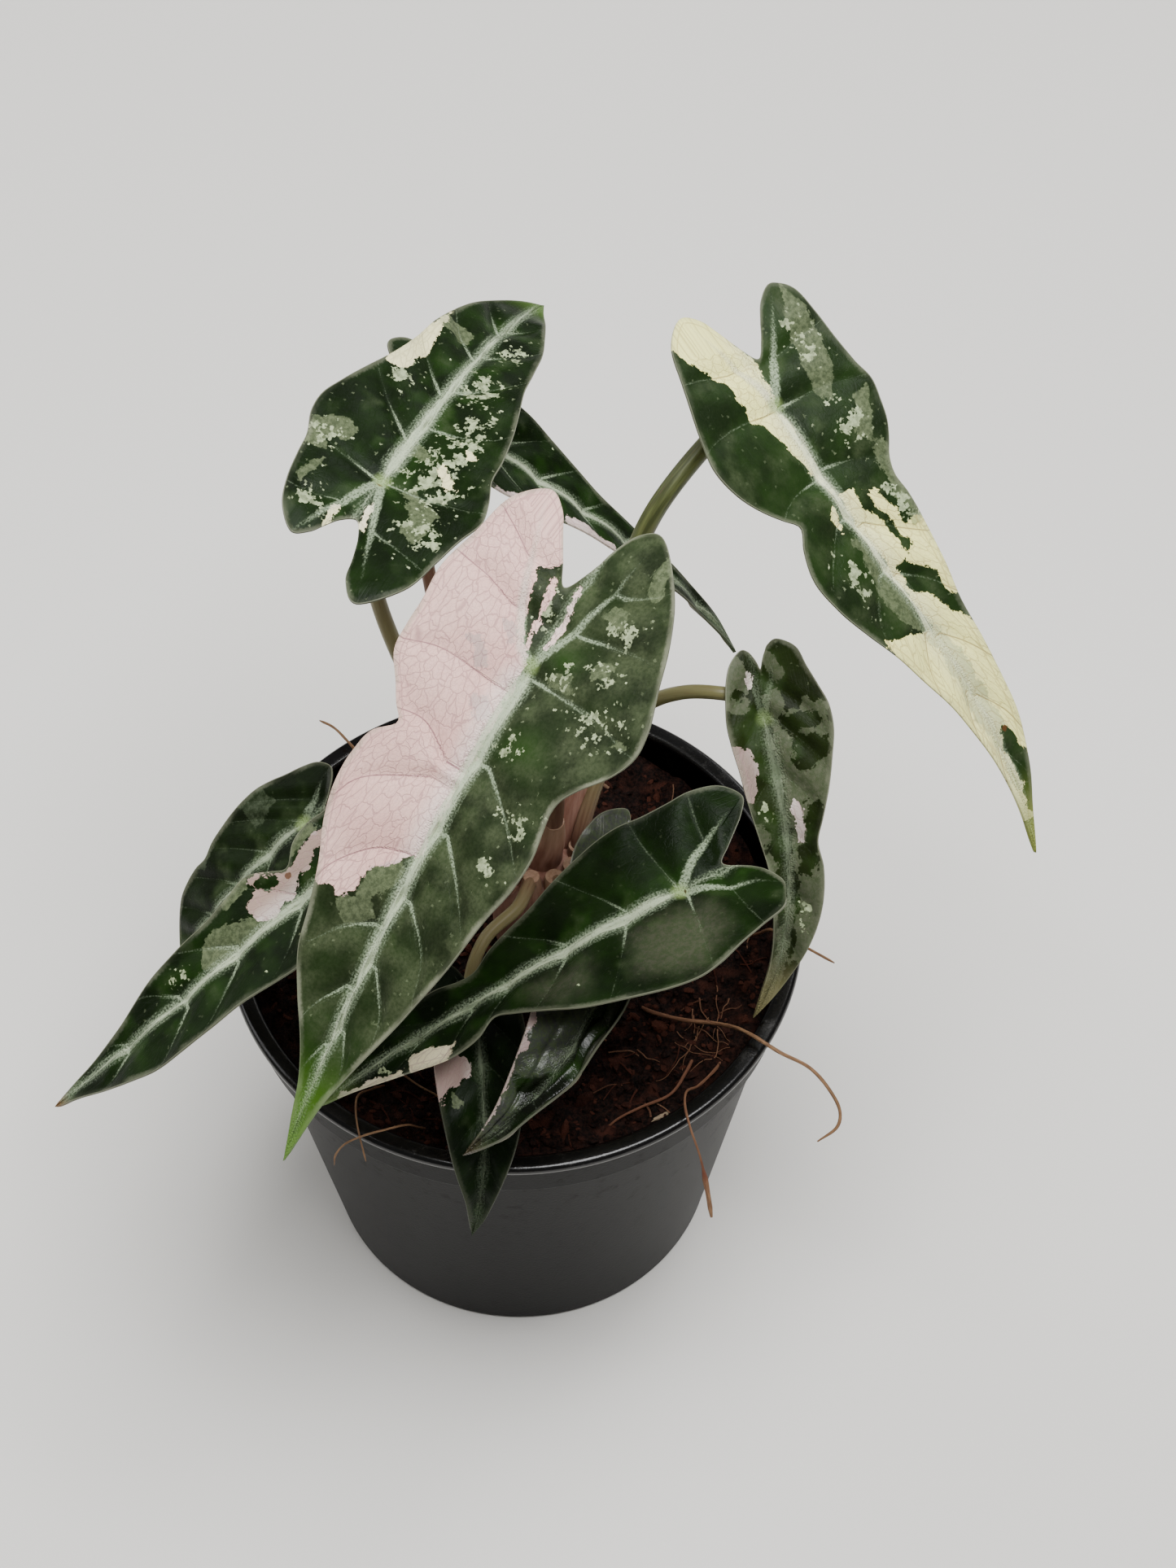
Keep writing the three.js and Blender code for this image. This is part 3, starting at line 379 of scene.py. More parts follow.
# %% Markings in millimetres
LEAF_MARKS = {
    "pink_front": dict(
        # Its heavy wash and light veil grey are painted sheen: a soft gloss of light over its green
        pale="#f0c6bb", blush="#dfaea5", net="#946a70", veil_and_sheen_grey="#485139", band=0.5, wash=0.95, tip="#557f20",
        tip_from=0.74, flecks=0.5, midrib=1.9,
        lobe_veins=[[(0, 0), (-6, 3), (-15.5, 6), (-32, 8.5)], [(0, 0), (-2, -3.5), (-9, -8), (-29.3, -16)]],
        left_ribs=[
            [(-19, 9), (-21, 13), (-24, 17)], [(-9, 6), (-10, 13), (-11, 23)], [(2, 4), (3, 19), (5, 27.5)],
            [(19.5, 3.5), (25, 11), (33, 20)], [(34, 3), (40, 9), (49, 17)], [(48, 2.5), (55.5, 10), (64, 13)],
            [(62, 2), (69, 7), (77, 9)], [(76, 1.5), (82, 4), (90, 5)]],
        right_ribs=[
            [(-17, 12), (-20, 17), (-22, 21)], [(-8, 9.5), (-10, 16), (-11, 24)],
            [(6, 4.5), (5.5, 16.5), (7.5, 23)], [(22.5, 4.5), (18, 12), (18.5, 18)],
            [(26, 5.5), (27.5, 8.5), (33, 17.5), (38, 20)], [(40.5, 3), (42.5, 8.5), (49, 14.5), (53, 16)],
            [(55, 2), (58.5, 7.5), (64, 12)], [(68, 1.8), (74, 6), (80, 8)], [(80, 1.2), (85, 3), (90, 4)]],
        patches=[
            [(-34, -30), (-34, 0), (-19.5, -4.6), (-15.5, -9), (-9, -7), (-3, -3.6), (0, -1.4), (12, -0.2),
             (40, 0), (41.5, -2.5), (44, -4.5), (46, -7.5), (51.5, -8), (54, -11), (52.5, -12.5), (53, -15),
             (53, -30)],
            [(-16, -6), (-2, -3), (-2, -2), (-15, -4.4)],
            [(-18, -1.6), (-11, 0.4), (-4, 0.6), (-4, 1.4), (-11, 1.8), (-17.5, -0.2)]],
        greys=[
            [(-30, 12), (-25.5, 11.2), (-21, 12.6), (-21, 15), (-27, 15)],
            [(-17, 8), (-14, 8), (-13, 13), (-17, 12)], [(-1, 5), (2, 5), (1, 11), (-2, 9)],
            [(-7, 13), (-3, 12), (-4, 17), (-7, 16)], [(4, 24), (6, 23), (5.5, 27.5), (3.5, 27)],
            [(42, -2.5), (46, -7.5), (51.5, -8), (54, -11), (56, -9.5), (58, -7.5), (57.5, -6), (54, -2.5),
             (51, -5), (49.5, -3), (45.5, -1.5)],
            [(1, -13), (5, -9), (4, -7), (0, -10)], [(-5, -9.5), (-0.5, -6), (-2, -4.5), (-5.5, -7)],
            [(10, -7), (14, -3), (12, -1.5), (9, -4)]],
        flecked=[
            (-13, 14, 5, 5), (-1, 7, 4, 5), (4, 19, 5, 9), (-5, 15, 4, 5), (14, 5, 4, 4), (25, 15, 4, 5),
            (-9, -3, 6, 3), (35, 14, 3, 3)],
        fresh=[(-4, 6, 3, 4), (14, 9, 4, 6), (90, 0, 16, 12)]),
    "back_left": dict(
        pale="#f0eab6", net="#b9b48c", veiled="#b5bb94", wash=0.4, tip="#4c6b25", rib_reach=0.7, flecks=0.6,
        midrib=1.35,
        left_ribs=[
            [(-9, 5), (-11, 10), (-12, 15)], [(0, 2), (1, 10), (3, 20)], [(12, 1), (18, 8), (26, 15)],
            [(28, 1.5), (33, 6), (41, 12)], [(43.5, 1), (47.5, 5.5), (55, 10)], [(57, 1), (61, 4), (67, 8)]],
        right_ribs=[
            [(-12, 5), (-14, 13), (-16, 18)], [(0, 3), (0, 10), (2, 20)],
            [(17.5, 2), (18.5, 8), (22, 15), (26, 17)], [(31, 2), (36, 7), (43, 12)],
            [(46, 1.5), (52.5, 8), (57, 10)], [(60, 1), (64, 4), (68, 6)]],
        patches=[
            [(56, 10.5), (50.5, 11), (37, 14), (31, 15), (27.5, 13.5), (28, 9.5), (33, 8.5), (36.5, 7.5),
             (41.5, 8.5), (46, 10)],
            [(-9.5, 3.5), (-14, 3.5), (-16, 4), (-13, 5.5)], [(-5.5, -1.5), (-13, -3), (-13, -1.5), (-8, -1)],
            [(16, -9), (14, -13), (15, -15.5), (13, -12)], [(9, -8.5), (4.5, -14), (3, -12), (7, -8.5)]],
        greys=[
            [(53, 12.5), (50, 3.5), (46, 4), (47, 12)],
            [(4.5, 18), (9.5, 12), (7, 9.5), (3.5, 10), (2.5, 13.5), (-1, 12.5), (-2.5, 16)],
            [(-9, 14.5), (-1.5, 11), (-10.5, 12.5)],
            [(-0.5, -1.5), (1, -6.5), (-1, -10), (-3, -14), (-8.5, -13.5), (-12, -13), (-9.5, -9.5), (-6, -9),
             (-2, -6)],
            [(12, -0.5), (8.5, -1), (8, -5.5), (11, -5)]],
        flecked=[
            (3, -9, 9, 9), (11, -9, 6, 7), (20, -9, 9, 6), (27, 9, 7, 4), (34, -5, 9, 6), (-12, 9, 5, 6),
            (-9, -13, 7, 6), (50, -5, 6, 4), (2, 14, 5, 5)]),
    "back_right": dict(
        pale="#fffca6", core="#e6e8bf", net="#a08c5c", veiled="#85966a", silver="#e4e9c4", deep="#101d0b",
        mid="#1c3111", wash=0.7, tip="#868f3c", tip_from=0.82, rib_reach=0.45, flecks=0.35, midrib=1.15,
        left_ribs=[
            [(-8, 5.5), (-9, 11), (-10, 17)], [(1, 3), (1.5, 12), (4, 21)], [(15, 2), (17, 8), (21, 15)],
            [(28, 2), (32, 6), (38, 12)], [(40, 1.5), (45, 6), (52, 10)], [(55, 1.5), (60, 5), (67, 8.5)],
            [(70, 1), (76, 4.5), (83, 6.5)], [(84, 1), (89, 3), (94, 4)]],
        right_ribs=[
            [(-9, 6), (-10, 11), (-11, 17)], [(1, 3), (0.5, 12), (2, 21)], [(16, 2), (16, 8), (18, 14)],
            [(25, 3), (29, 9), (36, 17)], [(38, 2.5), (43, 8), (51, 12)], [(53, 1.5), (58, 5), (66, 8)],
            [(68, 1), (73, 3), (79, 4.5)], [(82, 0.7), (87, 1.8), (92, 2.5)]],
        patches=[
            [(-18.5, -15), (-12.5, -12.5), (-8.5, -8), (-3.5, -8), (1, -7), (3.5, -4.5), (9, -3), (15, -1),
             (20, 0), (10, 0.4), (-3, 0.5), (-9.3, 1), (-12, 0), (-17.3, -2), (-24, -5), (-26, -14)],
            [(20.5, 0.3), (21.5, 5), (26, 8.5), (33, 9.5), (35, 14), (60, 12), (99, 9), (99, -9), (58, -11),
             (47, -11), (50, -6), (53, -0.8), (53, 0.3)],
            [(22, -2), (23, -4.5), (27, -3.5), (26, -2)]],
        darks=[
            [(18, 5), (24, 5.4), (31, 7), (38, 7), (38.5, 5.2), (31, 5), (25, 3.8), (19, 3.8)],
            [(39, 2), (43, 1.4), (47, 3.6), (52, 6), (58, 9), (56, 10), (49, 8.2), (44, 7.8), (40, 5)],
            [(77, 1.8), (80, 3.8), (86, 5), (92, 4.8), (99, 2), (97, 0.6), (88, 1), (82, 0.8)]],
        greys=[
            [(-20, 14), (-13.5, 16), (-7, 15.5), (-1.5, 14.5), (2, 13), (4, 11), (3, 8.5), (-3, 9),
             (-10.5, 10)],
            [(5, 19), (16, 13.5), (14, 11), (6, 15)], [(16.5, 15.5), (35, 13), (35, 10), (24, 11), (17, 12)],
            [(30, -0.6), (29, -3), (38, -4.5), (45, -5), (50, -4.5), (52, -0.8)],
            [(50, -1.5), (50, 1.5), (62, 3), (78, 3), (92, 1.4), (92, -0.6), (76, -1.6), (62, -2)]],
        flecked=[(-8, 12, 8, 5), (10, 11, 8, 5), (30, 11, 7, 4), (36, -8, 9, 4)],
        scars=[(79, 2.4, 0.6)]),
    "right_hanging": dict(
        # Its dark pink sectors and dull silver are painted shade: they are darkened for the shade that the blade
        # hangs in
        pale="#99877d", silver="#99a28a", deep="#141a08", mid="#1f2a0e", grey="#5b5f4c", wash=0.5,
        tip="#8f875e", tip_from=0.72, vein=0.22, knot=0.3, rib_reach=0.35, flecks=0.3, midrib=1.4,
        ribs=(-8, 0, 11, 23, 35, 46), broken=1.4,
        patches=[
            [(3.5, -9), (5, -4.6), (7.5, -4), (11, -4), (13.5, -4.8), (15.5, -6), (14, -8.5), (8, -9)],
            [(7.5, 13.5), (7.5, 11.8), (12, 11.8), (16, 10.4), (16, 13)],
            [(15.5, 2.6), (18, 2.2), (25, 2.6), (25, 3.4), (21, 4.2), (17, 4.2)],
            [(-9.5, -0.8), (-6, -0.8), (-6, -1.8), (-9.5, -1.8)]],
        greys=[
            [(-13, -2.5), (-12, -6), (-6, -8), (-2, -7), (-1, -4), (-4, -2), (-9, -1.5)],
            [(-13.5, 2), (-9, 2.2), (-6, 4), (-8, 5.5), (-12, 4.5)],
            [(-4, 1), (-5, 4), (-3, 8), (0, 13), (5, 14), (16, 12.5), (22, 9.5), (30, 8), (45, 6.5), (50, 5),
             (50, 2), (36, 2), (24, 1), (4, 0.6)],
            [(20, -6), (30, -4.4), (42, -2.8), (42, -1.6), (30, -2.6), (20, -4)],
            [(26, 1), (40, 1.2), (52, 2), (62, 1), (62, -1), (52, -1.8), (40, -1)]],
        darks=[
            [(-5, 5.5), (-6, 8), (-4.5, 10.5), (-2.5, 9), (0, 6.5), (-0.5, 4.5)],
            [(0.5, 2.5), (0, 4.5), (0.5, 7.5), (0.5, 11), (3.4, 11.4), (3.8, 9), (3.4, 7), (3, 3)],
            [(5.5, 4.5), (4.5, 6), (4, 9), (5, 12.5), (7.5, 11), (9.5, 9.4), (11, 7.5), (10.5, 5), (8.5, 3.6)],
            [(17, 5), (16.5, 8), (19, 9.4), (22, 8), (24.4, 6), (24.4, 4), (21.5, 4.2)],
            [(25.5, 2.5), (25, 6), (28, 6.8), (32, 4.8), (30, 2.4)], [(-7, -4.6), (-5, -6), (-4, -4), (-6, -3)]],
        flecked=[(18, -4, 4, 1.5), (40, 3, 4, 2)]),
    "front_right": dict(
        # Its soft grey-brown patches, given as greys, are painted sheen: a soft reflection of light on the blade
        pale="#ebe2bd", wash=0.3, tip="#54702a", rib_reach=0.4, flecks=0.12, midrib=1.3, soft=4, veil=0.5,
        grey="#5c5c4c",
        lobe_veins=[
            [(0, 0), (-6.5, 3.5), (-14.5, 7), (-18.2, 9.5)], [(0, 0), (-5, -4.5), (-10, -7.5), (-19.7, -12.7)]],
        left_ribs=[
            [(-9, 5), (-9.5, 10), (-10.5, 17)], [(-1, 1.5), (0, 8.5), (2, 22)], [(12, 1.5), (15, 7), (21, 17)],
            [(25, 1.5), (29, 5), (35, 10)], [(38, 1.2), (41, 3), (44, 6)], [(46, 1.2), (50, 4), (56, 9)],
            [(59, 1), (63, 3), (69, 5)]],
        right_ribs=[
            [(-9, 8), (-9.5, 13), (-10.5, 18)], [(0, 2), (1.5, 9.5), (2.5, 18)],
            [(10.5, 1.5), (13.5, 6), (20, 14)], [(24, 1.5), (28, 5), (35, 10)], [(38, 1.2), (42, 3.5), (49, 7)],
            [(53, 1), (57, 3), (64, 5.5)]],
        patches=[
            [(61.5, 3), (54.5, 4.5), (51, 5.5), (54, 10), (62, 8)],
            [(62, 5), (70, 2.6), (79, 1), (79, 3), (64, 8)]],
        greys=[[(-4, 6), (3, 4), (12, 4), (14, 14), (4, 20), (-4, 14)], [(22, 5), (34, 4), (32, 9), (24, 11)]],
        flecked=[(66, 2, 4, 3)]),
    "left_back": dict(
        # Its near-black greens are painted shade, for the shade on the plant's left
        pale="#d7d3c4", deep="#060d03", mid="#0f1b08", wash=0.5, tip="#33471d", rib_reach=0.4, flecks=0.1,
        midrib=1.1, vein=0.45, grey="#3f4836", grey_low="#252f1d", lush=0.5, ribs=(-6, 0, 9, 19, 29, 37),
        greys=[[(9, -14), (2, -13), (2, -8), (8, -6)], [(20, -12), (26, -11), (24, -8), (20, -9)]],
        flecked=[(1, 8, 3, 3)]),
    "left_low": dict(
        # Its dark pink and blush are painted shade: they are darkened for the shade that the blade lies in
        pale="#a18d82", blush="#ab9082", wash=0.4, tip="#7a5a35", tip_from=0.93, rib_reach=0.9, flecks=0.3,
        midrib=1.35,
        left_ribs=[
            [(-8, 5), (-9, 10), (-10, 15)], [(0, 2), (1, 9), (3, 17)], [(14, 2), (19, 8), (26, 13.5)],
            [(30, 2), (36, 7), (43, 12)], [(44, 2.5), (53, 10.5), (57, 11)], [(61, 1.2), (66, 4), (72, 5)]],
        right_ribs=[
            [(-8, 5), (-9, 9), (-10, 13)], [(0, 2), (1, 7), (3, 12)], [(13, 1.5), (17, 6), (24, 12)],
            [(29, 1.5), (34, 5), (41, 9)], [(45, 1.5), (51.5, 6), (56, 7)], [(61, 1), (65, 3), (70, 4)]],
        patches=[
            [(1, -9.6), (4.5, -9.2), (8.5, -7.6), (12.5, -6.6), (14.5, -9), (16.5, -10.6), (20.5, -10),
             (20, -7.6), (22.4, -6.6), (22.8, -5), (22, -2.5), (20.5, -0.8), (18, -0.8), (14.5, -1.8),
             (12, -2.6), (10.5, -4.2), (7.5, -4.6), (5.5, -6.6), (2, -7.2)]],
        greys=[
            [(35, -6), (32.5, -7.2), (30.5, -7.2), (26.5, -5.8), (23.5, -4.5), (22, -2.5), (19.5, -0.6),
             (23.5, 0.4), (30.5, 0.4), (35.5, -0.5), (37, -2.5)],
            [(2, -10), (8, -9.2), (11, -8.2), (10.5, -10.4), (4, -12.4)],
            [(27, -9), (20, -8.8), (20, -12), (27, -12)]],
        darks=[
            [(19.6, -9.4), (17.5, -9.8), (16, -9.2), (14.8, -7.4), (14.2, -6), (16.5, -5.8), (18.2, -6.8),
             (19.6, -8.2)]],
        flecked=[(43, -4, 4, 4), (10, 8, 6, 5)],
        scars=[(12.6, -6, 0.7), (84, 0, 1.6)]),
    "back": dict(
        pale="#e0ccc6", wash=0.3, tip="#2e4119", rib_reach=0.9, flecks=0.15, midrib=1.2, vein=0.8,
        ribs=(-9, 0, 12, 24, 36, 48, 60, 71),
        patches=[[(13, -17), (19, -16), (20, -13), (14, -13)], [(30, -10), (44.5, -8), (44, -5), (31, -6.5)]]),
    "front_low": dict(
        # Its near-black greens, dull pink, dark tip and faint veins and margin are painted shade, for the deep
        # shade it hangs in
        pale="#a58f87", deep="#070e05", mid="#0f1b0a", wash=0.2, tip="#25331a", rib_reach=0.3, flecks=0.1,
        midrib=0.9, vein=0.16, rim=0.12, band=0.08, lush=0.25, ribs=(-6, 0, 9, 19, 29, 37),
        patches=[[(9.5, -12), (7.5, -5.5), (8.5, -3), (11.5, -2.5), (13, -7), (15, -8), (17, -10.5)]],
        greys=[[(14, -6.5), (16, -4.8), (17.5, -5.8), (16, -7)]]),
    "curled": dict(
        # Its near-black greens, dark grey, dull pink and faint veins are painted shade
        pale="#8a7470", deep="#060804", mid="#0d1208", wash=0.25, tip="#3f3023", tip_from=0.9, rib_reach=0.3,
        satin=0.2, sheen=0.3, ruffle=0.9, grey="#434442", flecks=0.1, midrib=1.2, vein=0.2, rim=0.25, band=0.1,
        soft=0.5, veil=0.55, ribs=(-9, 0, 11, 22, 33, 44, 52),
        creases=[(0.5, 0.9, 0.09), (0.72, -0.7, 0.09), (-0.45, -0.4, 0.06)],
        patches=[
            [(14, -16), (31, -13), (43, -9.5), (56, -3.5), (55, -2.6), (43, -7.4), (31, -10.6), (16, -12.8)]],
        greys=[
            [(-6, -1), (8, -0.8), (24, -0.6), (38, -0.8), (41, -2), (44, -7), (48, -1), (58, -0.4), (58, -6),
             (40, -12), (10, -17), (-22, -14), (-22, -3)]]),
}

# A blade that names no blush has pale sectors of one even colour
MARKINGS = {name: {"blush": own["pale"], **USUAL, **own} for name, own in LEAF_MARKS.items()}
print(sum(len(marks["patches"]) for marks in MARKINGS.values()), "pale sectors")

# %% [markdown]
# ## The blade as a surface
# A point of a blade is given by two numbers: how far along the midrib, and how far across. The midrib is a cubic
# curve between its two ends, and at each of its points the two halves rise at the fold angle. Behind the joint
# the surface goes straight on and curls down a little. A blade could be sculpted too, but a formula lets the
# outline, the veins and the markings share one measure.

# %% Blade surface
BLADE_THICKNESS = 0.8
LOBE_CURL = 0.003
UP = np.array([0.0, 0.0, 1.0])


def blade_axes(blade):
    """The midrib's four control points, its length, and the direction to the blade's left."""
    joint, tip = (np.array(blade[key], float) for key in ("joint", "tip"))
    chord = tip - joint
    length = np.linalg.norm(chord)
    chord /= length
    flat = unit(np.cross(UP, chord))
    roll = math.radians(blade["roll"])
    across = flat * math.cos(roll) + np.cross(chord, flat) * math.sin(roll)
    normal = np.cross(chord, across)
    bends = [joint + chord * length * share + normal * rise + across * sweep
             for share, rise, sweep in zip((1 / 3, 2 / 3), blade["rise"], blade["sweep"])]
    return (joint, *bends, tip), length, across


def blade_point(blade, along, side):
    """Points of the blade's middle surface."""
    (p0, p1, p2, p3), length, across = blade_axes(blade)
    t = np.clip(along / length, 0, 1)[:, None]
    s = 1 - t
    centre = s ** 3 * p0 + 3 * s * s * t * p1 + 3 * s * t * t * p2 + t ** 3 * p3
    forward = s * s * (p1 - p0) + 2 * s * t * (p2 - p1) + t * t * (p3 - p2)
    start = unit(p1 - p0)
    level = unit(across - start * (across @ start))
    over = np.cross(start, level)
    back = np.minimum(along, 0)[:, None]
    centre = centre + start * back - over * LOBE_CURL * back ** 2
    forward = unit(np.where(back < 0, start - 2 * LOBE_CURL * back * over, unit(forward)))
    left = unit(across - forward * (forward @ across)[:, None])
    up = np.cross(forward, left)
    fold = math.radians(blade["fold"])
    side = side[:, None]
    return centre + left * side * math.cos(fold) + up * np.abs(side) * math.sin(fold)


def blade_up(blade, along, side):
    """The upward direction of the surface."""
    step = 0.5
    ahead = blade_point(blade, along + step, side) - blade_point(blade, along - step, side)
    leftwards = blade_point(blade, along, side + step) - blade_point(blade, along, side - step)
    return unit(np.cross(ahead, leftwards))


print("the longest blade is", round(max(blade_axes(blade)[1] for blade in BLADES.values())), "mm long")

# %% [markdown]
# ## A fine net over the blade
# The net has rows across the midrib and rows along each lobe's vein, which is how the real veins divide the
# blade too. The margin between the measured points is a smooth curve, so the outline has no corners.

# %% Blade net
ROW_STEP = 0.75
LOBE_ROWS = 8
COLUMNS = 30
INNER_COLUMNS = 16
CROWDING = 1.15


def lobe_margin(before, points, after):
    """A smooth curve through the lobe's points, with LOBE_ROWS steps from each to the next."""
    p = np.array([before, *points, after], float)
    fine = []
    share = np.linspace(0, 1, LOBE_ROWS, endpoint=False)[:, None]
    for a, b, c, d in zip(p[:-3], p[1:-2], p[2:-1], p[3:]):
        cubic = 2 * a - 5 * b + 4 * c - d + share * (3 * (b - c) + d - a)
        fine.append(b + 0.5 * share * (c - a + share * cubic))
    return np.vstack(fine + [p[-2:-1]])


def margin_widths(rows, widths, before, length):
    """Half-widths at the rows, on a smooth curve through the measured ones."""
    along = np.array([before[0], *[w[0] for w in widths], length])
    width = np.array([before[1], *[w[1] for w in widths], 0.0])
    slope = np.gradient(width, along)
    slope[-1] = (width[-1] - width[-2]) / (along[-1] - along[-2])
    cell = np.clip(np.searchsorted(along, rows, side="right") - 1, 1, len(along) - 2)
    gap = along[cell + 1] - along[cell]
    t = (rows - along[cell]) / gap
    return ((2 * t ** 3 - 3 * t ** 2 + 1) * width[cell] + (t ** 3 - 2 * t ** 2 + t) * gap * slope[cell]
            + (3 * t ** 2 - 2 * t ** 3) * width[cell + 1] + (t ** 3 - t ** 2) * gap * slope[cell + 1])


def blade_net(blade):
    """Flat points [along, side, distance to the margin] and the faces between them."""
    length = blade_axes(blade)[1]
    columns = np.linspace(0, 1, COLUMNS + 1) ** CROWDING
    inner = np.linspace(0, 1, INNER_COLUMNS + 1)
    points, cells, index = [], [], {}

    def number(point, to_rim):
        """The number of a point, which neighbouring patches share."""
        key = (round(point[0], 4), round(point[1], 4))
        if key not in index:
            index[key] = len(points)
            points.append((point[0], point[1], to_rim))
        return index[key]

    def patch(spine, edge, shares, flip):
        """Cells between a spine and an edge. They shrink to triangles where the two meet."""
        rows = []
        for start, end in zip(spine, edge):
            reach = np.linalg.norm(end - start)
            rows.append([number(start + (end - start) * s, reach * (1 - s)) for s in shares])
        for near, far in zip(rows[:-1], rows[1:]):
            for k in range(len(shares) - 1):
                cell = [near[k], near[k + 1], far[k + 1], far[k]]
                cell = [v for i, v in enumerate(cell) if v != cell[i - 1]]
                if len(cell) > 2:
                    cells.append(cell if flip else cell[::-1])

    rows = np.linspace(0, length, int(length / ROW_STEP) + 1)
    for sign, lobe in ((1, blade["left"]), (-1, blade["right"])):
        # From the joint to the tip: rows from the midrib to the margin
        widths = [(w[0], w[1] if sign > 0 else w[2]) for w in blade["widths"]]
        half = np.maximum(margin_widths(rows, widths, (lobe[0][0], abs(lobe[0][1])), length), 0)
        patch(np.stack([rows, 0 * rows], 1), np.stack([rows, sign * half], 1), columns, sign < 0)

        # The lobe: outer rows from its vein to the margin, and inner ones to the notch
        corner = (0, sign * widths[0][1])
        other = blade["right"][-1] if sign > 0 else blade["left"][-1]
        margin = lobe_margin((widths[1][0], sign * widths[1][1]), [corner, *lobe, blade["notch"]], other)
        middle = LOBE_ROWS * (len(lobe) // 2 + 1)
        vein = np.linspace(0, 1, middle + 1)[:, None] * margin[middle]
        patch(vein, margin[:middle + 1], columns, sign > 0)
        patch(vein, margin[middle:][::-1], inner, sign < 0)
    return np.array(points), cells


print("the smallest blade's net has", len(blade_net(BLADES["front_low"])[0]), "points")

# %% [markdown]
# ## Numbers for the markings
# The shader draws the fine edges, but it has to know where on the blade it is. So each point of the net carries
# smooth numbers: its flat place, its distance to the margin, the count of side veins up to it, and how far it is
# inside or outside a sector. Smooth numbers can be read between the points without blur.

# %% Distances and counts on the flat blade
FAR = 1e9
NOWHERE_NEAR = -50.0
VEIN_GAP = 9
VEIN_ARCH = ((0, 1), (4, 5), (10, 10), (20, 16))


def offsets(flat, start, end):
    """Each point's offset from the nearest place on a straight piece of line."""
    edge = end - start
    share = np.clip(((flat - start) @ edge) / (edge @ edge), 0, 1)
    return flat - start - share[:, None] * edge


def inside_distance(flat, outlines):
    """How far each point is inside the nearest outline, in mm, negative outside."""
    best = np.full(len(flat), NOWHERE_NEAR)
    for outline in outlines:
        corners = np.array(outline, float)
        distance = np.full(len(flat), FAR)
        inside = np.zeros(len(flat), bool)
        for p, q in zip(corners, np.roll(corners, -1, axis=0)):
            distance = np.minimum(distance, np.linalg.norm(offsets(flat, p, q), axis=1))
            crosses = (p[1] > flat[:, 1]) != (q[1] > flat[:, 1])
            rise = q[1] - p[1] if q[1] != p[1] else 1 / FAR
            inside ^= crosses & (flat[:, 0] < (q - p)[0] * (flat[:, 1] - p[1]) / rise + p[0])
        best = np.maximum(best, np.where(inside, distance, -distance))
    return best


def side_of(flat, line):
    """Distance from a line, positive on its right."""
    best, signed = np.full(len(flat), FAR), np.zeros(len(flat))
    for p, q in zip(line[:-1], line[1:]):
        away = offsets(flat, p, q)
        distance = np.linalg.norm(away, axis=1)
        turn = (q - p)[0] * away[:, 1] - (q - p)[1] * away[:, 0]
        signed = np.where(distance < best, np.where(turn < 0, distance, -distance), signed)
        best = np.minimum(best, distance)
    return signed


def rib_count(flat, marks):
    """A number that is whole on each side vein and runs evenly from one to the next."""
    along, width = flat[:, 0], np.abs(flat[:, 1])
    count = np.zeros(len(flat))
    for key, half in (("left_ribs", flat[:, 1] >= 0), ("right_ribs", flat[:, 1] < 0)):
        lines = marks[key] or [[(start + a, w) for a, w in VEIN_ARCH] for start in marks["ribs"]]
        lines = [smooth_path(line, 16) for line in lines]
        starts = np.array([np.interp(width, line[:, 1], line[:, 0]) for line in lines])
        starts = np.maximum.accumulate(starts + 0.01 * np.arange(len(lines))[:, None], axis=0)
        for k in range(len(lines) - 1):
            share = (along - starts[k]) / (starts[k + 1] - starts[k])
            count = np.where(half & (share >= 0), k + np.clip(share, 0, 1), count)
        first, last = (along - starts[0]) / VEIN_GAP, (along - starts[-1]) / VEIN_GAP
        count = np.where(half & (first < 0), first, count)
        count = np.where(half & (last > 0), len(lines) - 1 + np.clip(last, 0, 0.5), count)
    return np.maximum(count, -0.5)


def fleck_cover(flat, spots):
    """How thickly each point is flecked, 0 to 1, from spots of along, side and their two reaches."""
    cover = np.zeros(len(flat))
    for along, side, reach_along, reach_side in spots:
        away = ((flat[:, 0] - along) / reach_along) ** 2 + ((flat[:, 1] - side) / reach_side) ** 2
        cover = np.maximum(cover, np.exp(-away))
    return cover


def scar_cover(flat, scars):
    """1 in the middle of each dry brown scar and 0 a little outside it."""
    cover = np.zeros(len(flat))
    for along, side, reach in scars:
        away = np.hypot(flat[:, 0] - along, flat[:, 1] - side)
        cover = np.maximum(cover, 1 - away / (2 * reach))
    return np.maximum(cover, 0)


def eased(values, zero, one):
    """A smooth step from 0, where values reach zero, to 1, where they reach one."""
    share = np.clip((values - zero) / (one - zero), 0, 1)
    return share * share * (3 - 2 * share)


# %% Fields over the blade
NUMBERS = ("margin", "ribs", "rib_gap", "rib_half", "rib_shine", "midrib", "lobe_vein", "lobe_half", "lobe_shine",
           "tipward", "pale", "grey", "flecked", "fresh", "scar")
NUDGE = 0.05


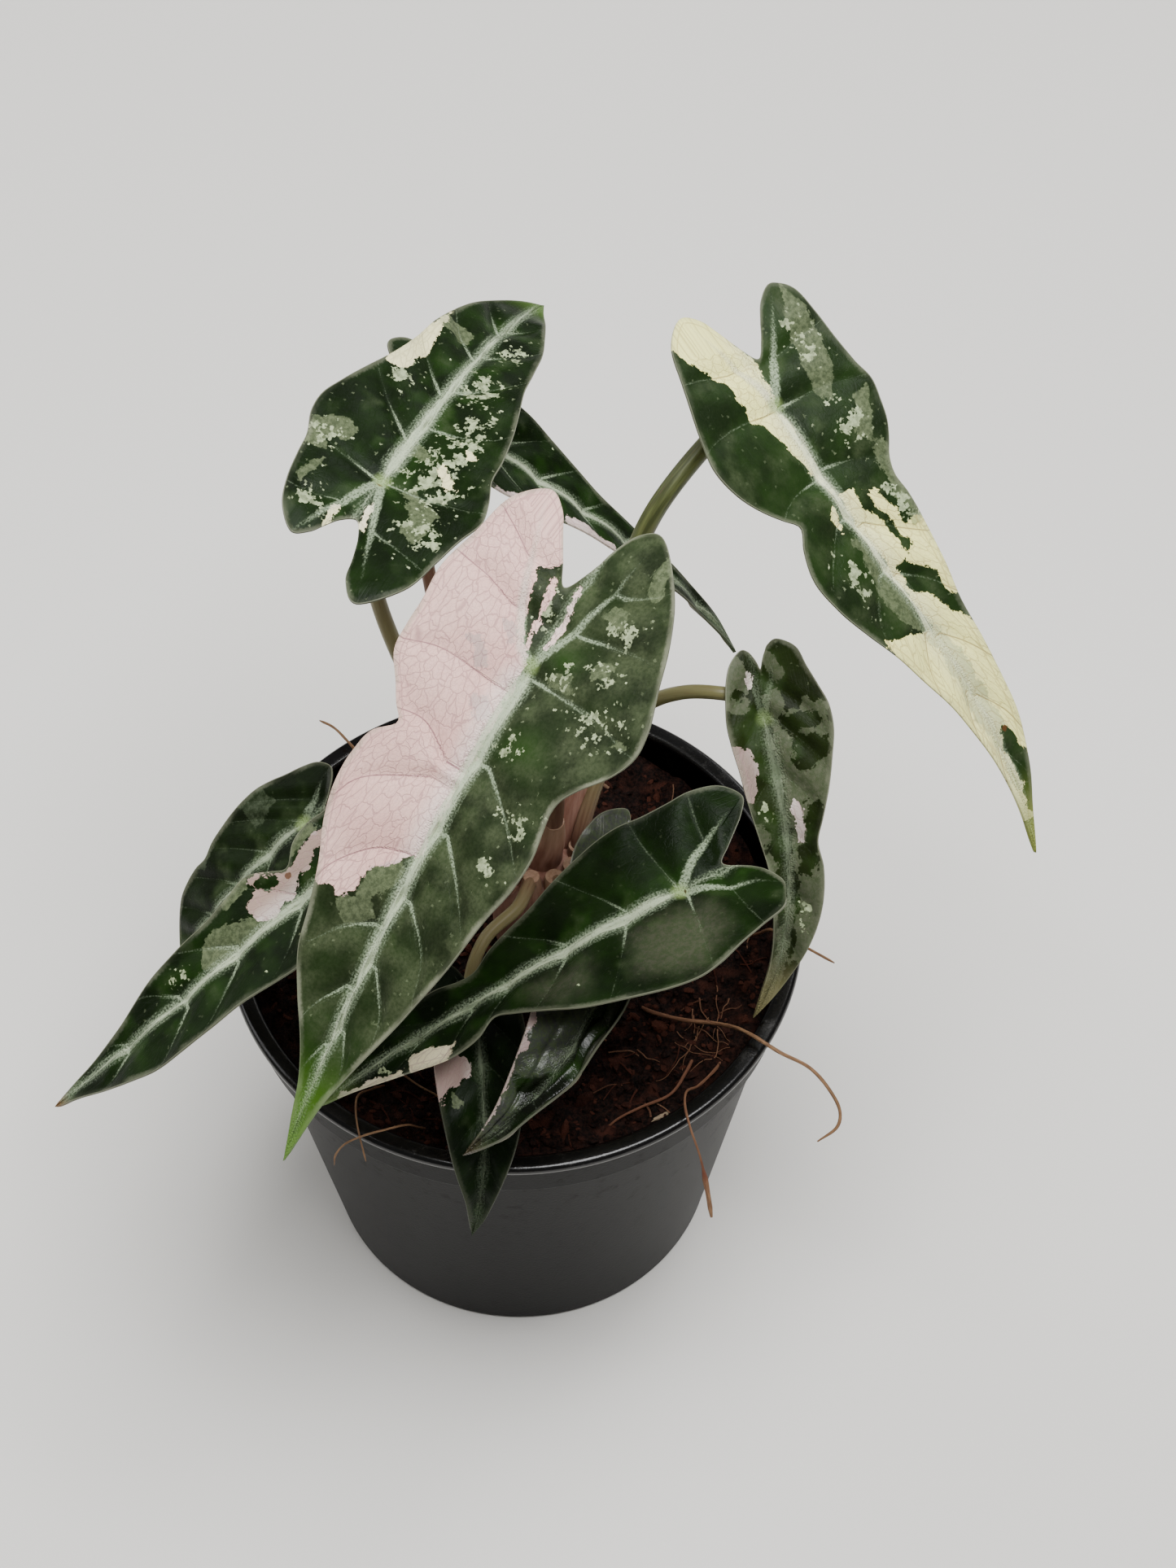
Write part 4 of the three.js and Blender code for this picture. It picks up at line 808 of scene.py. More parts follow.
def blade_fields(name, net):
    """The blade's flat place and all its NUMBERS, for its material."""
    blade, marks = BLADES[name], MARKINGS[name]
    length = blade_axes(blade)[1]
    flat, to_rim = net[:, :2], net[:, 2]
    along, width = flat[:, 0], np.abs(flat[:, 1])

    # Side veins: their count, the gap between them in mm, and how they thin and fade outwards
    count = rib_count(flat, marks)
    slope = [(rib_count(flat + np.array(step) * NUDGE, marks) - count) / NUDGE for step in ((1, 0), (0, 1))]
    gap = 1 / np.maximum(np.hypot(*slope), 0.04)
    fade = eased(width / (width + to_rim + 0.01), marks["rib_reach"], 0.03)

    # Midrib and lobe veins: half-widths that taper
    thick = marks["midrib"]
    thick = np.interp(along, (-30, 0, 4, length * 0.5, length), (0, 0, thick, 0.5 * thick, 0.15))
    veins = marks["lobe_veins"] or [[(0, 0), blade[half][3]] for half in ("left", "right")]
    left, right = (np.array(vein, float) for vein in veins)
    lobe_end = min(blade[half][3][0] for half in ("left", "right"))

    dark = inside_distance(flat, marks["darks"])
    return {
        "flat": np.column_stack([flat, 0 * along]),
        "margin": to_rim,
        "ribs": count,
        "rib_gap": np.minimum(gap, 20),
        "rib_half": 0.04 + 0.24 * fade,
        "rib_shine": 0.24 + 0.52 * fade ** 1.5,
        "midrib": thick - width,
        "lobe_vein": np.where(flat[:, 1] >= 0, -side_of(flat, left), side_of(flat, right)),
        "lobe_half": 0.8 * eased(along / lobe_end, 1, 0),
        "lobe_shine": 0.1 + 0.7 * eased(along / lobe_end, 1, 0.2),
        "tipward": along / length,
        "pale": np.minimum(inside_distance(flat, marks["patches"]), -dark),
        "grey": np.minimum(inside_distance(flat, marks["greys"]), -dark),
        "flecked": fleck_cover(flat, marks["flecked"]),
        "fresh": 0.55 * fleck_cover(flat, marks["fresh"]),
        "scar": scar_cover(flat, marks["scars"]),
    }


print(len(NUMBERS), "numbers and a place at each point")

# %% [markdown]
# ## The living leaf's finish
# A fresh alocasia leaf is a thin sheet of water-filled cells under a waxy skin. The wax gives a soft satin gloss
# with an IOR near 1.45, broken up by the cells, so the specular level is low and the green stays deep. The veins
# are sunk a few tenths of a millimetre on the upper side. They look silvery because air lies in threads beside
# them, so their edges are frayed and powdery. Light leaks through the pale sectors, so they look lit from within.
# An image could hold all this, but it would blur close by. So the pattern is drawn from the numbers on the mesh,
# and from noise whose grain is set in millimetres on the leaf.

# %% Leaf colours, and sizes in millimetres
VEIN_SILVER = "#98a88b"
PALE_LOBE_VEIN = "#dadccb"
JOINT_GREEN = "#8fa765"
FRESH_GREEN = "#26490f"
FLECK_CREAM = "#aebb93"
MARGIN_LINE = "#9a9c86"
SCAR_BROWN = "#5d3c22"
UNDERSIDE = ("#565c3e", "#6c6250")
UNDER_A_SECTOR = "#cdb9ae"
KEEL_STRAW = "#a59b7d"
THREAD = 0.45
THREAD_LENGTH = 6
NET_CELL = 1.9
TINT_CLOUD = 100 / 7
CLOUD = 11
GLOSS_CLOUD = 100 / 11
MOTTLE = 7
BAY = 3.4
ISLAND = 3.0
SPECK = 0.8
BLOCK = 0.45
GRAIN = 1.2
TISSUE = 0.7
POWDER = 0.4
print("the finest grain on a leaf is", POWDER, "mm")


# %% Silver veins
def silver_veins(node, flat, at):
    """Shares, 0 to 1, of all silver, of the midrib, of the hair-fine lines of a pale sector, and of lobe veins."""
    across = node("SeparateXYZ", flat, out="Y")
    along_veins = node("CombineXYZ", node("Math", at["ribs"], 10 / THREAD, **TIMES),
                       node("Math", across, 1 / THREAD_LENGTH, **TIMES))
    thread = node("TexNoise", along_veins, 1.0, 2.0)
    along_midrib = node("VectorMath", flat, (1 / THREAD_LENGTH, 1 / THREAD, 0), operation="MULTIPLY")
    bundle = node("TexNoise", along_midrib, 1.0, 3.0, 0.6)

    # Side veins: at_vein is the distance to the nearest in millimetres, and frayed has its threads
    nearest = node("Math", at["ribs"], operation="ROUND")
    apart = node("Math", node("Math", at["ribs"], nearest, **MINUS), **SIZE_OF)
    at_vein = node("Math", apart, at["rib_gap"], **TIMES)
    frayed = node("Math", thread, 1.3, node("Math", at_vein, 0.65, **MINUS), **TIMES_PLUS)
    outer = node("MapRange", at["lobe_vein"], -0.6, 0.2, 1.0, 0.0)
    line = node("MapRange", node("Math", frayed, at["rib_half"], **MINUS), -0.15, 0.4, 1.0, 0.0)
    haze = node("MapRange", frayed, 0.0, 1.6, 0.4, 0.0)
    rib = node("Math", node("Math", line, haze, **LARGER), at["rib_shine"], **TIMES)
    rib = node("Math", rib, outer, **TIMES)
    hair = node("Math", node("MapRange", at_vein, 0.03, 0.2, 1.0, 0.0), outer, **TIMES)

    # Lobe veins and midrib, which has a glow of 2 mm on either side
    at_lobe = node("Math", node("Math", at["lobe_vein"], **SIZE_OF), at["lobe_half"], **MINUS)
    at_lobe = node("Math", bundle, 1.0, node("Math", at_lobe, 0.5, **MINUS), **TIMES_PLUS)
    lobe = node("MapRange", at_lobe, -0.4, 0.7, 1.0, 0.0)
    lobe = node("Math", lobe, at["lobe_shine"], **TIMES)
    in_midrib = node("Math", bundle, 1.7, node("Math", at["midrib"], 0.85, **MINUS), **TIMES_PLUS)
    midrib = node("MapRange", in_midrib, -0.3, 0.7)
    glow = node("MapRange", in_midrib, -2.2, 0.3, 0.0, 0.5)
    silver = node("Math", node("Math", rib, lobe, **LARGER), node("Math", midrib, glow, **LARGER), **LARGER)

    # Powder: the air threads break up into grains at the edges
    powder = node("TexNoise", flat, 1 / POWDER, 1.0)
    silver = node("Math", silver, node("MapRange", powder, 0.3, 0.7, 0.45, 1.55, **STRAIGHT), **TIMES)
    silver = node("MapRange", silver, 0.08, 0.8)
    gleam = node("MapRange", bundle, 0.3, 0.7, 0.6, 1.0)
    return silver, node("Math", midrib, gleam, **TIMES), hair, lobe


# %% Fine net of a pale sector
def pale_net(node, flat, at):
    """Shares of the net's lines: cells along the side veins with finer ones in them, and a line by the margin."""
    across = node("SeparateXYZ", flat, out="Y")
    straight = node("CombineXYZ", node("Math", at["ribs"], 10 / NET_CELL, **TIMES),
                    node("Math", across, 1 / NET_CELL, **TIMES))
    crook = node("TexNoise", straight, 1.5, 2.0, out="Color")
    crook = node("VectorMath", crook, (0.7, 0.7, 0), operation="MULTIPLY")
    cells_at = node("VectorMath", straight, crook, operation="ADD")
    coarse = node("TexVoronoi", cells_at, 1.0, feature="DISTANCE_TO_EDGE")
    fine = node("TexVoronoi", cells_at, 2.6, feature="DISTANCE_TO_EDGE")
    coarse = node("MapRange", coarse, 0.0, 0.065, 1.0, 0.0)
    fine = node("MapRange", fine, 0.0, 0.08, 0.4, 0.0)
    from_line = node("Math", node("Math", at["margin"], 1.3, **MINUS), **SIZE_OF)
    edge_line = node("MapRange", from_line, 0.05, 0.25, 1.0, 0.0)
    return node("Math", coarse, fine, **LARGER), edge_line


# %% Green flesh
def green_flesh(node, flat, at, marks):
    """Dark green, clouded and fresher beside the midrib. Its grey dust is lost green, and on pink_front painted
    sheen.
    """
    cloud = node("MapRange", node("TexNoise", flat, 1 / CLOUD, 3.0, 0.55), 0.35, 0.68)
    green = node("Mix", cloud, marks["deep"], marks["mid"])
    fresh = node("MapRange", node("TexNoise", flat, 1.6 / CLOUD), 0.45, 0.68)
    beside = node("MapRange", at["midrib"], -9.0, 0.0, 0.1, 0.4)
    fresh = node("Math", node("Math", fresh, marks["lush"], **TIMES), beside, **TIMES)
    fresh = node("Math", fresh, at["fresh"], **LARGER)
    green = node("Mix", fresh, green, FRESH_GREEN)

    # Grey dust, on pink_front painted sheen: the more wash, the lower the noise needs to be, and the less of the
    # green is wholly clear
    tissue = node("TexNoise", flat, 1 / TISSUE, 3.0, 0.6)
    wash = marks["wash"]
    start = 0.66 - 0.3 * wash
    mottle = node("TexNoise", flat, 1 / MOTTLE, 2.5, 0.5)
    dust = node("MapRange", mottle, start, start + 0.3, 0.3 * wash ** 2, 1.0)
    dust = node("Math", dust, node("MapRange", tissue, 0.3, 0.65, 0.5, 0.9), **TIMES)
    dust = node("Math", dust, node("Math", 1.0, at["fresh"], **MINUS), **TIMES)
    return node("Mix", dust, green, marks["veil_and_sheen_grey"]), tissue


# %% Ragged sectors and flecks
def sector_shares(node, flat, at, marks):
    """Shares of the pale sectors, the grey ones and the flecks, all ragged, block of cells by block of cells."""
    blocks = node("TexVoronoi", flat, 1 / BLOCK, distance="CHEBYCHEV", out="Position")
    bays = node("Math", node("TexNoise", blocks, 1 / BAY, 6.0, 0.62), 5.0, -2.5, **TIMES_PLUS)
    pale = node("MapRange", node("Math", at["pale"], bays), -0.06, 0.08)
    grey = node("Math", bays, marks["broken"], at["grey"], **TIMES_PLUS)
    grey = node("MapRange", grey, -marks["soft"], marks["soft"], 0.0, marks["veil"])

    # Islands of 1 to 4 mm where it is thickly flecked, and specks under a millimetre
    island = node("TexNoise", blocks, 1 / ISLAND, 7.0, 0.68)
    need = node("Math", at["flecked"], -0.21, 0.72 - 0.04 * marks["flecks"], **TIMES_PLUS)
    fleck = node("MapRange", node("Math", island, need, **MINUS), 0.0, 0.012)
    speck = node("MapRange", node("TexNoise", blocks, 1 / SPECK, 3.0, 0.6), 0.66, 0.68)
    thick = node("MapRange", at["flecked"], 0.05, 0.6, marks["flecks"] * 0.45, 1.0)
    speck = node("Math", node("Math", speck, thick, **TIMES), 0.75, **TIMES)
    worn = node("MapRange", node("TexNoise", blocks, 0.8, 2.0), 0.35, 0.6, 0.4, 0.9)
    return pale, grey, node("Math", node("Math", fleck, speck, **LARGER), worn, **TIMES), island


# %% Leaf material
def leaf_skin(name, marks):
    """Upper side of one blade, from the flesh up to the wax, which gives the eye a soft sheen over deep green."""
    made, node = new_material("waxy_leaf_" + name, IOR=1.45, Specular_IOR_Level=marks["sheen"],
                              Subsurface_Weight=0.04, Subsurface_Radius=(0.001, 0.001, 0.0005))
    flat = node("Attribute", attribute_name="flat", out="Vector")
    at = {key: node("Attribute", attribute_name=key, out="Fac") for key in NUMBERS}
    silver, midrib, hair, lobe = silver_veins(node, flat, at)
    net, edge_line = pale_net(node, flat, at)
    skin, tissue = green_flesh(node, flat, at, marks)
    pale_share, grey_share, fleck, island = sector_shares(node, flat, at, marks)

    # Over the green: grey sectors, flecks and the silver of the veins
    grainy = node("MapRange", node("TexNoise", flat, 1 / GRAIN, 4.0, 0.75), 0.38, 0.62)
    grey = node("Mix", grainy, marks["grey_low"], marks["grey"])
    skin = node("Mix", grey_share, skin, grey)
    skin = node("Mix", fleck, skin, FLECK_CREAM)
    shine = marks["vein"]
    silver_share = node("Math", silver, node("MapRange", tissue, 0.3, 0.6, 0.7 * shine, shine), **TIMES)
    skin = node("Mix", silver_share, skin, VEIN_SILVER)

    # Pale sectors, tinted, lighter by the midrib and netted with fine veins
    tint = node("MapRange", node("TexNoise", flat, 1 / TINT_CLOUD), 0.35, 0.7, 0.0, 0.5)
    pale = node("Mix", tint, marks["pale"], marks["blush"])
    pale = node("Mix", node("Math", grey_share, 0.8, **TIMES), pale, marks["veiled"])
    beside = node("MapRange", at["midrib"], -4.5, 0.2, 0.0, 0.55)
    pale = node("Mix", beside, pale, marks["core"])
    lines = node("Math", node("Math", net, 0.52, **TIMES), node("Math", hair, 0.85, **TIMES), **LARGER)
    lines = node("Math", lines, node("Math", edge_line, 0.45, **TIMES), **LARGER)
    pale = node("Mix", lines, pale, marks["net"])
    pale = node("Mix", node("Math", lobe, 0.6, **TIMES), pale, PALE_LOBE_VEIN)
    skin = node("Mix", pale_share, skin, pale)

    # Over both: the midrib's silver, the green knot at the joint, and scars
    skin = node("Mix", node("Math", midrib, shine, **TIMES), skin, marks["silver"])
    from_joint = node("VectorMath", flat, operation="LENGTH")
    knot = node("MapRange", from_joint, 0.6, 2.4, marks["knot"], 0.0)
    skin = node("Mix", knot, skin, JOINT_GREEN)
    nicked = node("Math", island, 0.8, node("Math", at["scar"], 0.4, **MINUS), **TIMES_PLUS)
    skin = node("Mix", node("MapRange", nicked, 0.42, 0.5, 0.0, 0.85), skin, SCAR_BROWN)

    # The margin's thin line and patchy band, and the tip
    rim = node("MapRange", at["margin"], 0.1, 0.3, marks["rim"], 0.0)
    band = node("Math", tissue, 1.2, at["margin"], **TIMES_PLUS)
    band = node("MapRange", band, 0.9, 1.9, marks["band"], 0.0)
    patchy = node("MapRange", node("TexNoise", flat, 1 / CLOUD, 2.0), 0.4, 0.6, 0.15, 1.0)
    edge = node("Math", rim, node("Math", band, patchy, **TIMES), **LARGER)
    skin = node("Mix", edge, skin, MARGIN_LINE)
    tip = node("MapRange", at["tipward"], marks["tip_from"], 1.0, 0.0, 0.85)
    skin = node("Mix", tip, skin, marks["tip"])

    # Wax and relief: satin that varies slowly, and everything that is sunk or quilted
    satin = marks["satin"]
    gloss = node("MapRange", node("TexNoise", flat, 1 / GLOSS_CLOUD), 0.3, 0.7, satin - 0.07, satin + 0.07)
    sunk = node("Math", net, node("MapRange", pale_share, 0.0, 1.0, 0.1, 0.3, **STRAIGHT), **TIMES)
    sunk = node("Math", sunk, silver, **LARGER)
    relief = node("Math", tissue, 0.3, node("Math", 1.0, sunk, **MINUS), **TIMES_PLUS)
    feed(made, Base_Color=skin, Roughness=gloss, Normal=node("Bump", 1.0, 0.0002, None, relief))
    return made


def leaf_underside():
    """Lower side, duller and flushed with purple-brown, pale under a pale sector and along the keel."""
    made, node = new_material("matt_leaf_underside", Roughness=0.5, IOR=1.45)
    flat = node("Attribute", attribute_name="flat", out="Vector")
    cloud = node("MapRange", node("TexNoise", flat, 1 / GLOSS_CLOUD, 3.0), 0.35, 0.7)
    skin = node("Mix", cloud, *UNDERSIDE)
    pale = node("Attribute", attribute_name="pale", out="Fac")
    skin = node("Mix", node("MapRange", pale, -0.4, 0.4, 0.0, 0.8), skin, UNDER_A_SECTOR)
    midrib = node("Attribute", attribute_name="midrib", out="Fac")
    skin = node("Mix", node("MapRange", midrib, -0.6, 0.3), skin, KEEL_STRAW)
    relief = node("TexNoise", flat, 1 / TISSUE, 3.0)
    feed(made, Base_Color=skin, Normal=node("Bump", 1.0, 0.00012, None, relief))
    return made


underside = leaf_underside()
print("leaf finishes ready")

# %% [markdown]
# ## Growing the blades
# The net is lifted onto the surface twice, as an upper and a lower skin. They part by 0.8 mm along the midrib
# and by less at the margin, as on a real leaf. The side veins draw the skin down a little and the spaces between
# them swell, and underneath the midrib stands out as a rounded keel. A Solidify modifier could thicken one sheet,
# but only evenly, and it knows no keel.

# %% Relief of a blade in millimetres
KEEL = 0.9
VEIN_DEPTH = 0.45
VEIN_HALF = 1.3
SWELL = 0.6
WAVE_RATE = 0.42
RIM_THICKNESS = 0.4
RIM_WIDTH = 4


def blade_relief(marks, net, fields):
    """How high each point stands over the middle surface: sunk veins, swellings, waves and creases."""
    along, side, to_rim = net.T
    from_vein = np.abs(fields["ribs"] - np.round(fields["ribs"])) * fields["rib_gap"]
    quilt = -VEIN_DEPTH * np.exp(-(from_vein / VEIN_HALF) ** 2) * np.clip(to_rim / 3, 0, 1)
    quilt += SWELL * (np.sin(math.pi * fields["ribs"]) ** 2 - 0.5) * np.clip(to_rim / 5, 0, 1)
    wave = marks["ruffle"] * np.sin(along * WAVE_RATE + np.sign(side)) * np.clip(1 - to_rim / 7, 0, 1)
    outward = side / (np.abs(side) + to_rim + 0.01)
    for where, height, width in marks["creases"]:
        wave += height * np.exp(-((outward - where) / width) ** 2) * np.clip(to_rim, 0, 1)
    return quilt + wave * np.clip(to_rim, 0.3, 1)


def keel_depth(blade, along, side):
    """How far the midrib stands out below, less and less towards the tip."""
    keel = KEEL * np.exp(-(side / VEIN_HALF) ** 2) * np.clip(along / 2 + 1, 0, 1)
    return keel * np.interp(along, (0, blade_axes(blade)[1]), (1, 0.4))


# %% Blades
def grow_blade(name):
    """One blade, with its upper skin, lower skin and rim."""
    blade, marks = BLADES[name], MARKINGS[name]
    net, faces = blade_net(blade)
    along, side, to_rim = net.T
    fields = blade_fields(name, net)
    middle = blade_point(blade, along, side)
    up = blade_up(blade, along, side)
    half = np.interp(to_rim, (0, RIM_WIDTH), (RIM_THICKNESS / 2, BLADE_THICKNESS / 2))
    shift = blade_relief(marks, net, fields)
    top = middle + up * (shift[:, None] + half[:, None])
    bottom = middle + up * (shift[:, None] - half[:, None] - keel_depth(blade, along, side)[:, None])

    # The rim joins the two skins along the edges that only one face has
    count = len(net)
    edges = dict.fromkeys((a, b) for face in faces for a, b in zip(face, face[1:] + face[:1]))
    rim = [(a, a + count, b + count, b) for a, b in edges if (b, a) not in edges]
    under = [tuple(v + count for v in reversed(face)) for face in faces]
    every = [tuple(face) for face in faces] + under + rim
    skins = [0] * len(faces) + [1] * len(under) + [0] * len(rim)

    # The relief stays inside the plain solid's box
    low, high = (np.array(corner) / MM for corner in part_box("leaf_" + name))
    points = np.clip(np.vstack([top, bottom]), low, high)
    numbers = {key: np.concatenate([values, values]) for key, values in fields.items()}
    return add_piece("blade_" + name, points, every, [leaf_skin(name, marks), underside], skins, numbers,
                     ["leaf_" + name])


for blade_name in BLADES:
    made_blade = grow_blade(blade_name)
    print("blade", blade_name, len(made_blade.data.polygons), "faces")

# %% [markdown]
# ## Stems
# A leaf stalk is a firm round shoot, pinkish brown where it leaves the crown and olive green higher up, with fine
# lengthwise fibres under a smooth skin. It is one tube along a spline through the points that it passes. socket
# is its angle around the crown, counted from the plant's right, base and top are its radii, and tone runs from
# pinkish (0) to straw-coloured (1). A curve object with a bevel would give the same tube, but a mesh can carry
# the numbers that the fibres need.

# %% Stem paths in millimetres
CROWN = (6, 4)
CROWN_TOP = 112
SOCKET_CIRCLE = 7.2
SOCKET_DEPTH = 9
STEMS = {
    "pink_front": dict(socket=None, path=[(8, 2, 125), (9, 0, 150), (9, -5, 175)], base=2.1, top=1.7, tone=0.15),
    # back_left's stalk has its tone raised towards straw to make up for the blades' shade on it: painted light
    "back_left": dict(
        socket=130, path=[(-8, 15, 125), (-21, 23, 150), (-27, 29, 172)], base=1.9, top=1.5, tone=0.9),
    "back_right": dict(
        socket=48, path=[(14, 16, 132), (20, 27, 160), (29, 36, 185)], base=2.1, top=1.9, tone=0.55),
    "right_hanging": dict(
        socket=8, path=[(14.5, 8, 120), (20, 18, 131), (26, 21, 140), (34, 18, 149), (42, 15, 152.5)],
        base=1.7, top=1.35, tone=0.8),
    "front_right": dict(
        socket=-32, path=[(21, 1, 118), (34, 1, 127), (39, -8, 134)], base=1.8, top=1.4, tone=0.3),
    "left_back": dict(socket=172, path=[(-10, 5, 119), (-25, 3, 131)], base=1.7, top=1.3, tone=0.3),
    "left_low": dict(socket=212, path=[(-6, -5, 122), (-15, -10, 140)], base=1.8, top=1.4, tone=0.2),
    "back": dict(socket=90, path=[(-2, 22, 118), (-14, 42, 134), (-19, 60, 152)], base=1.7, top=1.4, tone=0.1),
    "front_low": dict(
        socket=252, path=[(1, -10.5, 115), (-5.5, -17.5, 114), (-8.5, -25, 109.5)], base=1.5, top=1.2, tone=1.0),
    "curled": dict(socket=-70, path=[(13, -8, 116), (19, -11, 120)], base=1.7, top=1.2, tone=0.2),
}


def socket_point(angle, height):
    """A point above a stem's place in the crown."""
    circle = 0 if angle is None else SOCKET_CIRCLE
    turn = math.radians(angle or 0)
    return (CROWN[0] + circle * math.cos(turn), CROWN[1] + circle * math.sin(turn), height)


def stem_path(name, steps):
    """The stem's centreline, from its socket to the underside of its blade."""
    blade, stem = BLADES[name], STEMS[name]
    (joint, bend, _, _), _, _ = blade_axes(blade)
    up = blade_up(blade, np.zeros(1), np.zeros(1))[0]
    below = joint - up * 5 - unit(bend - joint) * 3
    joint = joint - up * BLADE_THICKNESS
    foot = [socket_point(stem["socket"], height) for height in (CROWN_TOP - SOCKET_DEPTH, CROWN_TOP + 1)]
    return smooth_path([*foot, *stem["path"], below, joint], steps)


print(len(STEMS), "stalks measured")

# %% Stem material
STALK_FOOT = ("#5d3d34", "#7a594c")
STALK_OLIVE = ("#383d20", "#5a6038")
STALK_STRAW = "#7d7450"
STALK_PINKISH = "#7a5145"
STALK_FRECKLE = "#5c3a30"


def stem_skin():
    """Firm fresh stalk. Its smooth skin gives a satin gloss, and fibres under a millimetre wide run along it."""
    made, node = new_material("smooth_fresh_stalk", Roughness=0.42, IOR=1.42, Specular_IOR_Level=0.35,
                              Subsurface_Weight=0.08, Subsurface_Radius=(0.004, 0.002, 0.001))
    run = node("Attribute", attribute_name="run", out="Fac")
    tone = node("Attribute", attribute_name="tone", out="Fac")
    place = node("Attribute", attribute_name="place", out="Vector")
    streak = node("TexNoise", place, 1.0, 3.0, 0.55)
    streaked = node("MapRange", streak, 0.3, 0.7)
    lower = node("Mix", streaked, *STALK_FOOT)
    upper = node("Mix", streaked, *STALK_OLIVE)
    upper = node("Mix", node("MapRange", tone, 0.6, 1.0), upper, STALK_STRAW)
    upper = node("Mix", node("MapRange", tone, 0.0, 0.4, 0.85, 0.0), upper, STALK_PINKISH)
    skin = node("Mix", node("MapRange", run, 0.1, 0.45), lower, upper)
    freckle = node("MapRange", node("TexNoise", place, 2.9, 2.0), 0.62, 0.7, 0.0, 0.35)
    skin = node("Mix", freckle, skin, STALK_FRECKLE)
    feed(made, Base_Color=skin, Normal=node("Bump", 1.0, 0.00012, None, streak))
    return made


fresh_stalk = stem_skin()
print(fresh_stalk.name, "ready")

# %% Stems
STEM_SIDES = 20
STEM_STEPS = 70
STEM_STRETCH = 12
for stem_name, stem in STEMS.items():
    centres = stem_path(stem_name, STEM_STEPS)
    radii = stem["base"] + (stem["top"] - stem["base"]) * np.linspace(0, 1, STEM_STEPS + 1)
    points, faces, run = strand(centres, radii, STEM_SIDES)
    numbers = {"run": run, "place": strand_place(centres, STEM_SIDES, STEM_STRETCH),
               "tone": np.full(len(run), stem["tone"])}
    add_piece("stalk_" + stem_name, points, faces, [fresh_stalk], numbers=numbers,
              stands_for=["stem_" + stem_name])
print(len(STEMS), "stalks")

# %% [markdown]
# ## The crown
# Each stalk widens at its foot into a fleshy sheath that wraps the younger ones, and together they make the thick
# pinkish crown. So the crown is one rounded body whose section is a spiral: each sheath's free margin stands a
# little proud of the next. The stalks' feet swell out of its top, and one withered pale sheath curls out behind.

# %% Crown material
SHEATH_FLUSH = ("#7a5345", "#a17c6c")
SHEATH_TOP = "#8c7a5b"
SOILED_FOOT = "#4a2e25"


def sheath_skin():
    """Fleshy sheath. It looks juicy and satin, flushed pinkish brown, with darker lines and a soiled foot."""
    made, node = new_material("fleshy_leaf_sheath", Roughness=0.45, IOR=1.42, Specular_IOR_Level=0.35,
                              Subsurface_Weight=0.1, Subsurface_Radius=(0.004, 0.002, 0.001))
    place = node("Attribute", attribute_name="place", out="Vector")
    run = node("Attribute", attribute_name="run", out="Fac")
    streak = node("TexNoise", place, 1.1, 4.0, 0.6)
    skin = node("Mix", node("MapRange", streak, 0.25, 0.75), *SHEATH_FLUSH)
    skin = node("Mix", node("MapRange", run, 0.7, 1.0, 0.0, 0.4), skin, SHEATH_TOP)
    skin = node("Mix", node("MapRange", run, 0.05, 0.2, 0.75, 0.0), skin, SOILED_FOOT)
    feed(made, Base_Color=skin, Normal=node("Bump", 1.0, 0.0001, None, streak))
    return made


fleshy_sheath = sheath_skin()
print(fleshy_sheath.name, "ready")

# %% Crown in millimetres
SHEATH_GIRTH = [(80, 9.5), (84, 10.4), (92, 11.2), (100, 11.3), (106, 10.8), (110, 9.6), (112, 7.6), (112.6, 5)]
SHEATH_ROWS = 44
SHEATH_SIDES = 150
SHEATHS = 4
SHEATH_STEP = 0.09
SHEATH_LEAN = 0.035
SHEATH_STRETCH = 9
FREE_MARGIN = 0.06
FOOT_HEIGHTS = (94, 104, CROWN_TOP - 1)
BROAD_FEET = {"pink_front": 4.3, "back_right": 3.6, "left_low": 3.4}
SLIM_FOOT = 3.2
DRY_SHEATH = [(12, 10, 104), (13.5, 13.5, 111), (15, 17, 116.5), (17.5, 18.5, 118), (19.5, 18, 117)]


def bundle(strands):
    """Several strands as one mesh with its numbers, each with its own stretch of the fibre pattern."""
    parts, start = [], 0
    for centres, radii, sides, flat in strands:
        points, faces, run = strand(centres, radii, sides, flat)
        parts.append((points, faces, {"run": run, "place": strand_place(centres, sides, SHEATH_STRETCH) + start}))
        start += len(points)
    return join(parts)


def sheath_body():
    """The wrapped body. A sheath's surface recedes around the crown, up to the next one's free margin."""
    points, run, place = [], [], []
    for row, (height, radius) in enumerate(smooth_path(SHEATH_GIRTH, SHEATH_ROWS - 1)):
        for k in range(SHEATH_SIDES):
            angle = 2 * math.pi * k / SHEATH_SIDES
            wrap = (angle / (2 * math.pi) * SHEATHS + SHEATH_LEAN * (height - SHEATH_GIRTH[0][0])) % 1
            reach = radius * (1 - SHEATH_STEP * min(wrap / (1 - FREE_MARGIN), (1 - wrap) / FREE_MARGIN))
            points.append((CROWN[0] + reach * math.cos(angle), CROWN[1] + reach * math.sin(angle), height))
            run.append(row / (SHEATH_ROWS - 1) * 0.55)
            place.append((FIBRE_RING * math.cos(angle), FIBRE_RING * math.sin(angle), height / SHEATH_STRETCH))
    return points, tube_faces(SHEATH_ROWS, SHEATH_SIDES), {"run": run, "place": place}


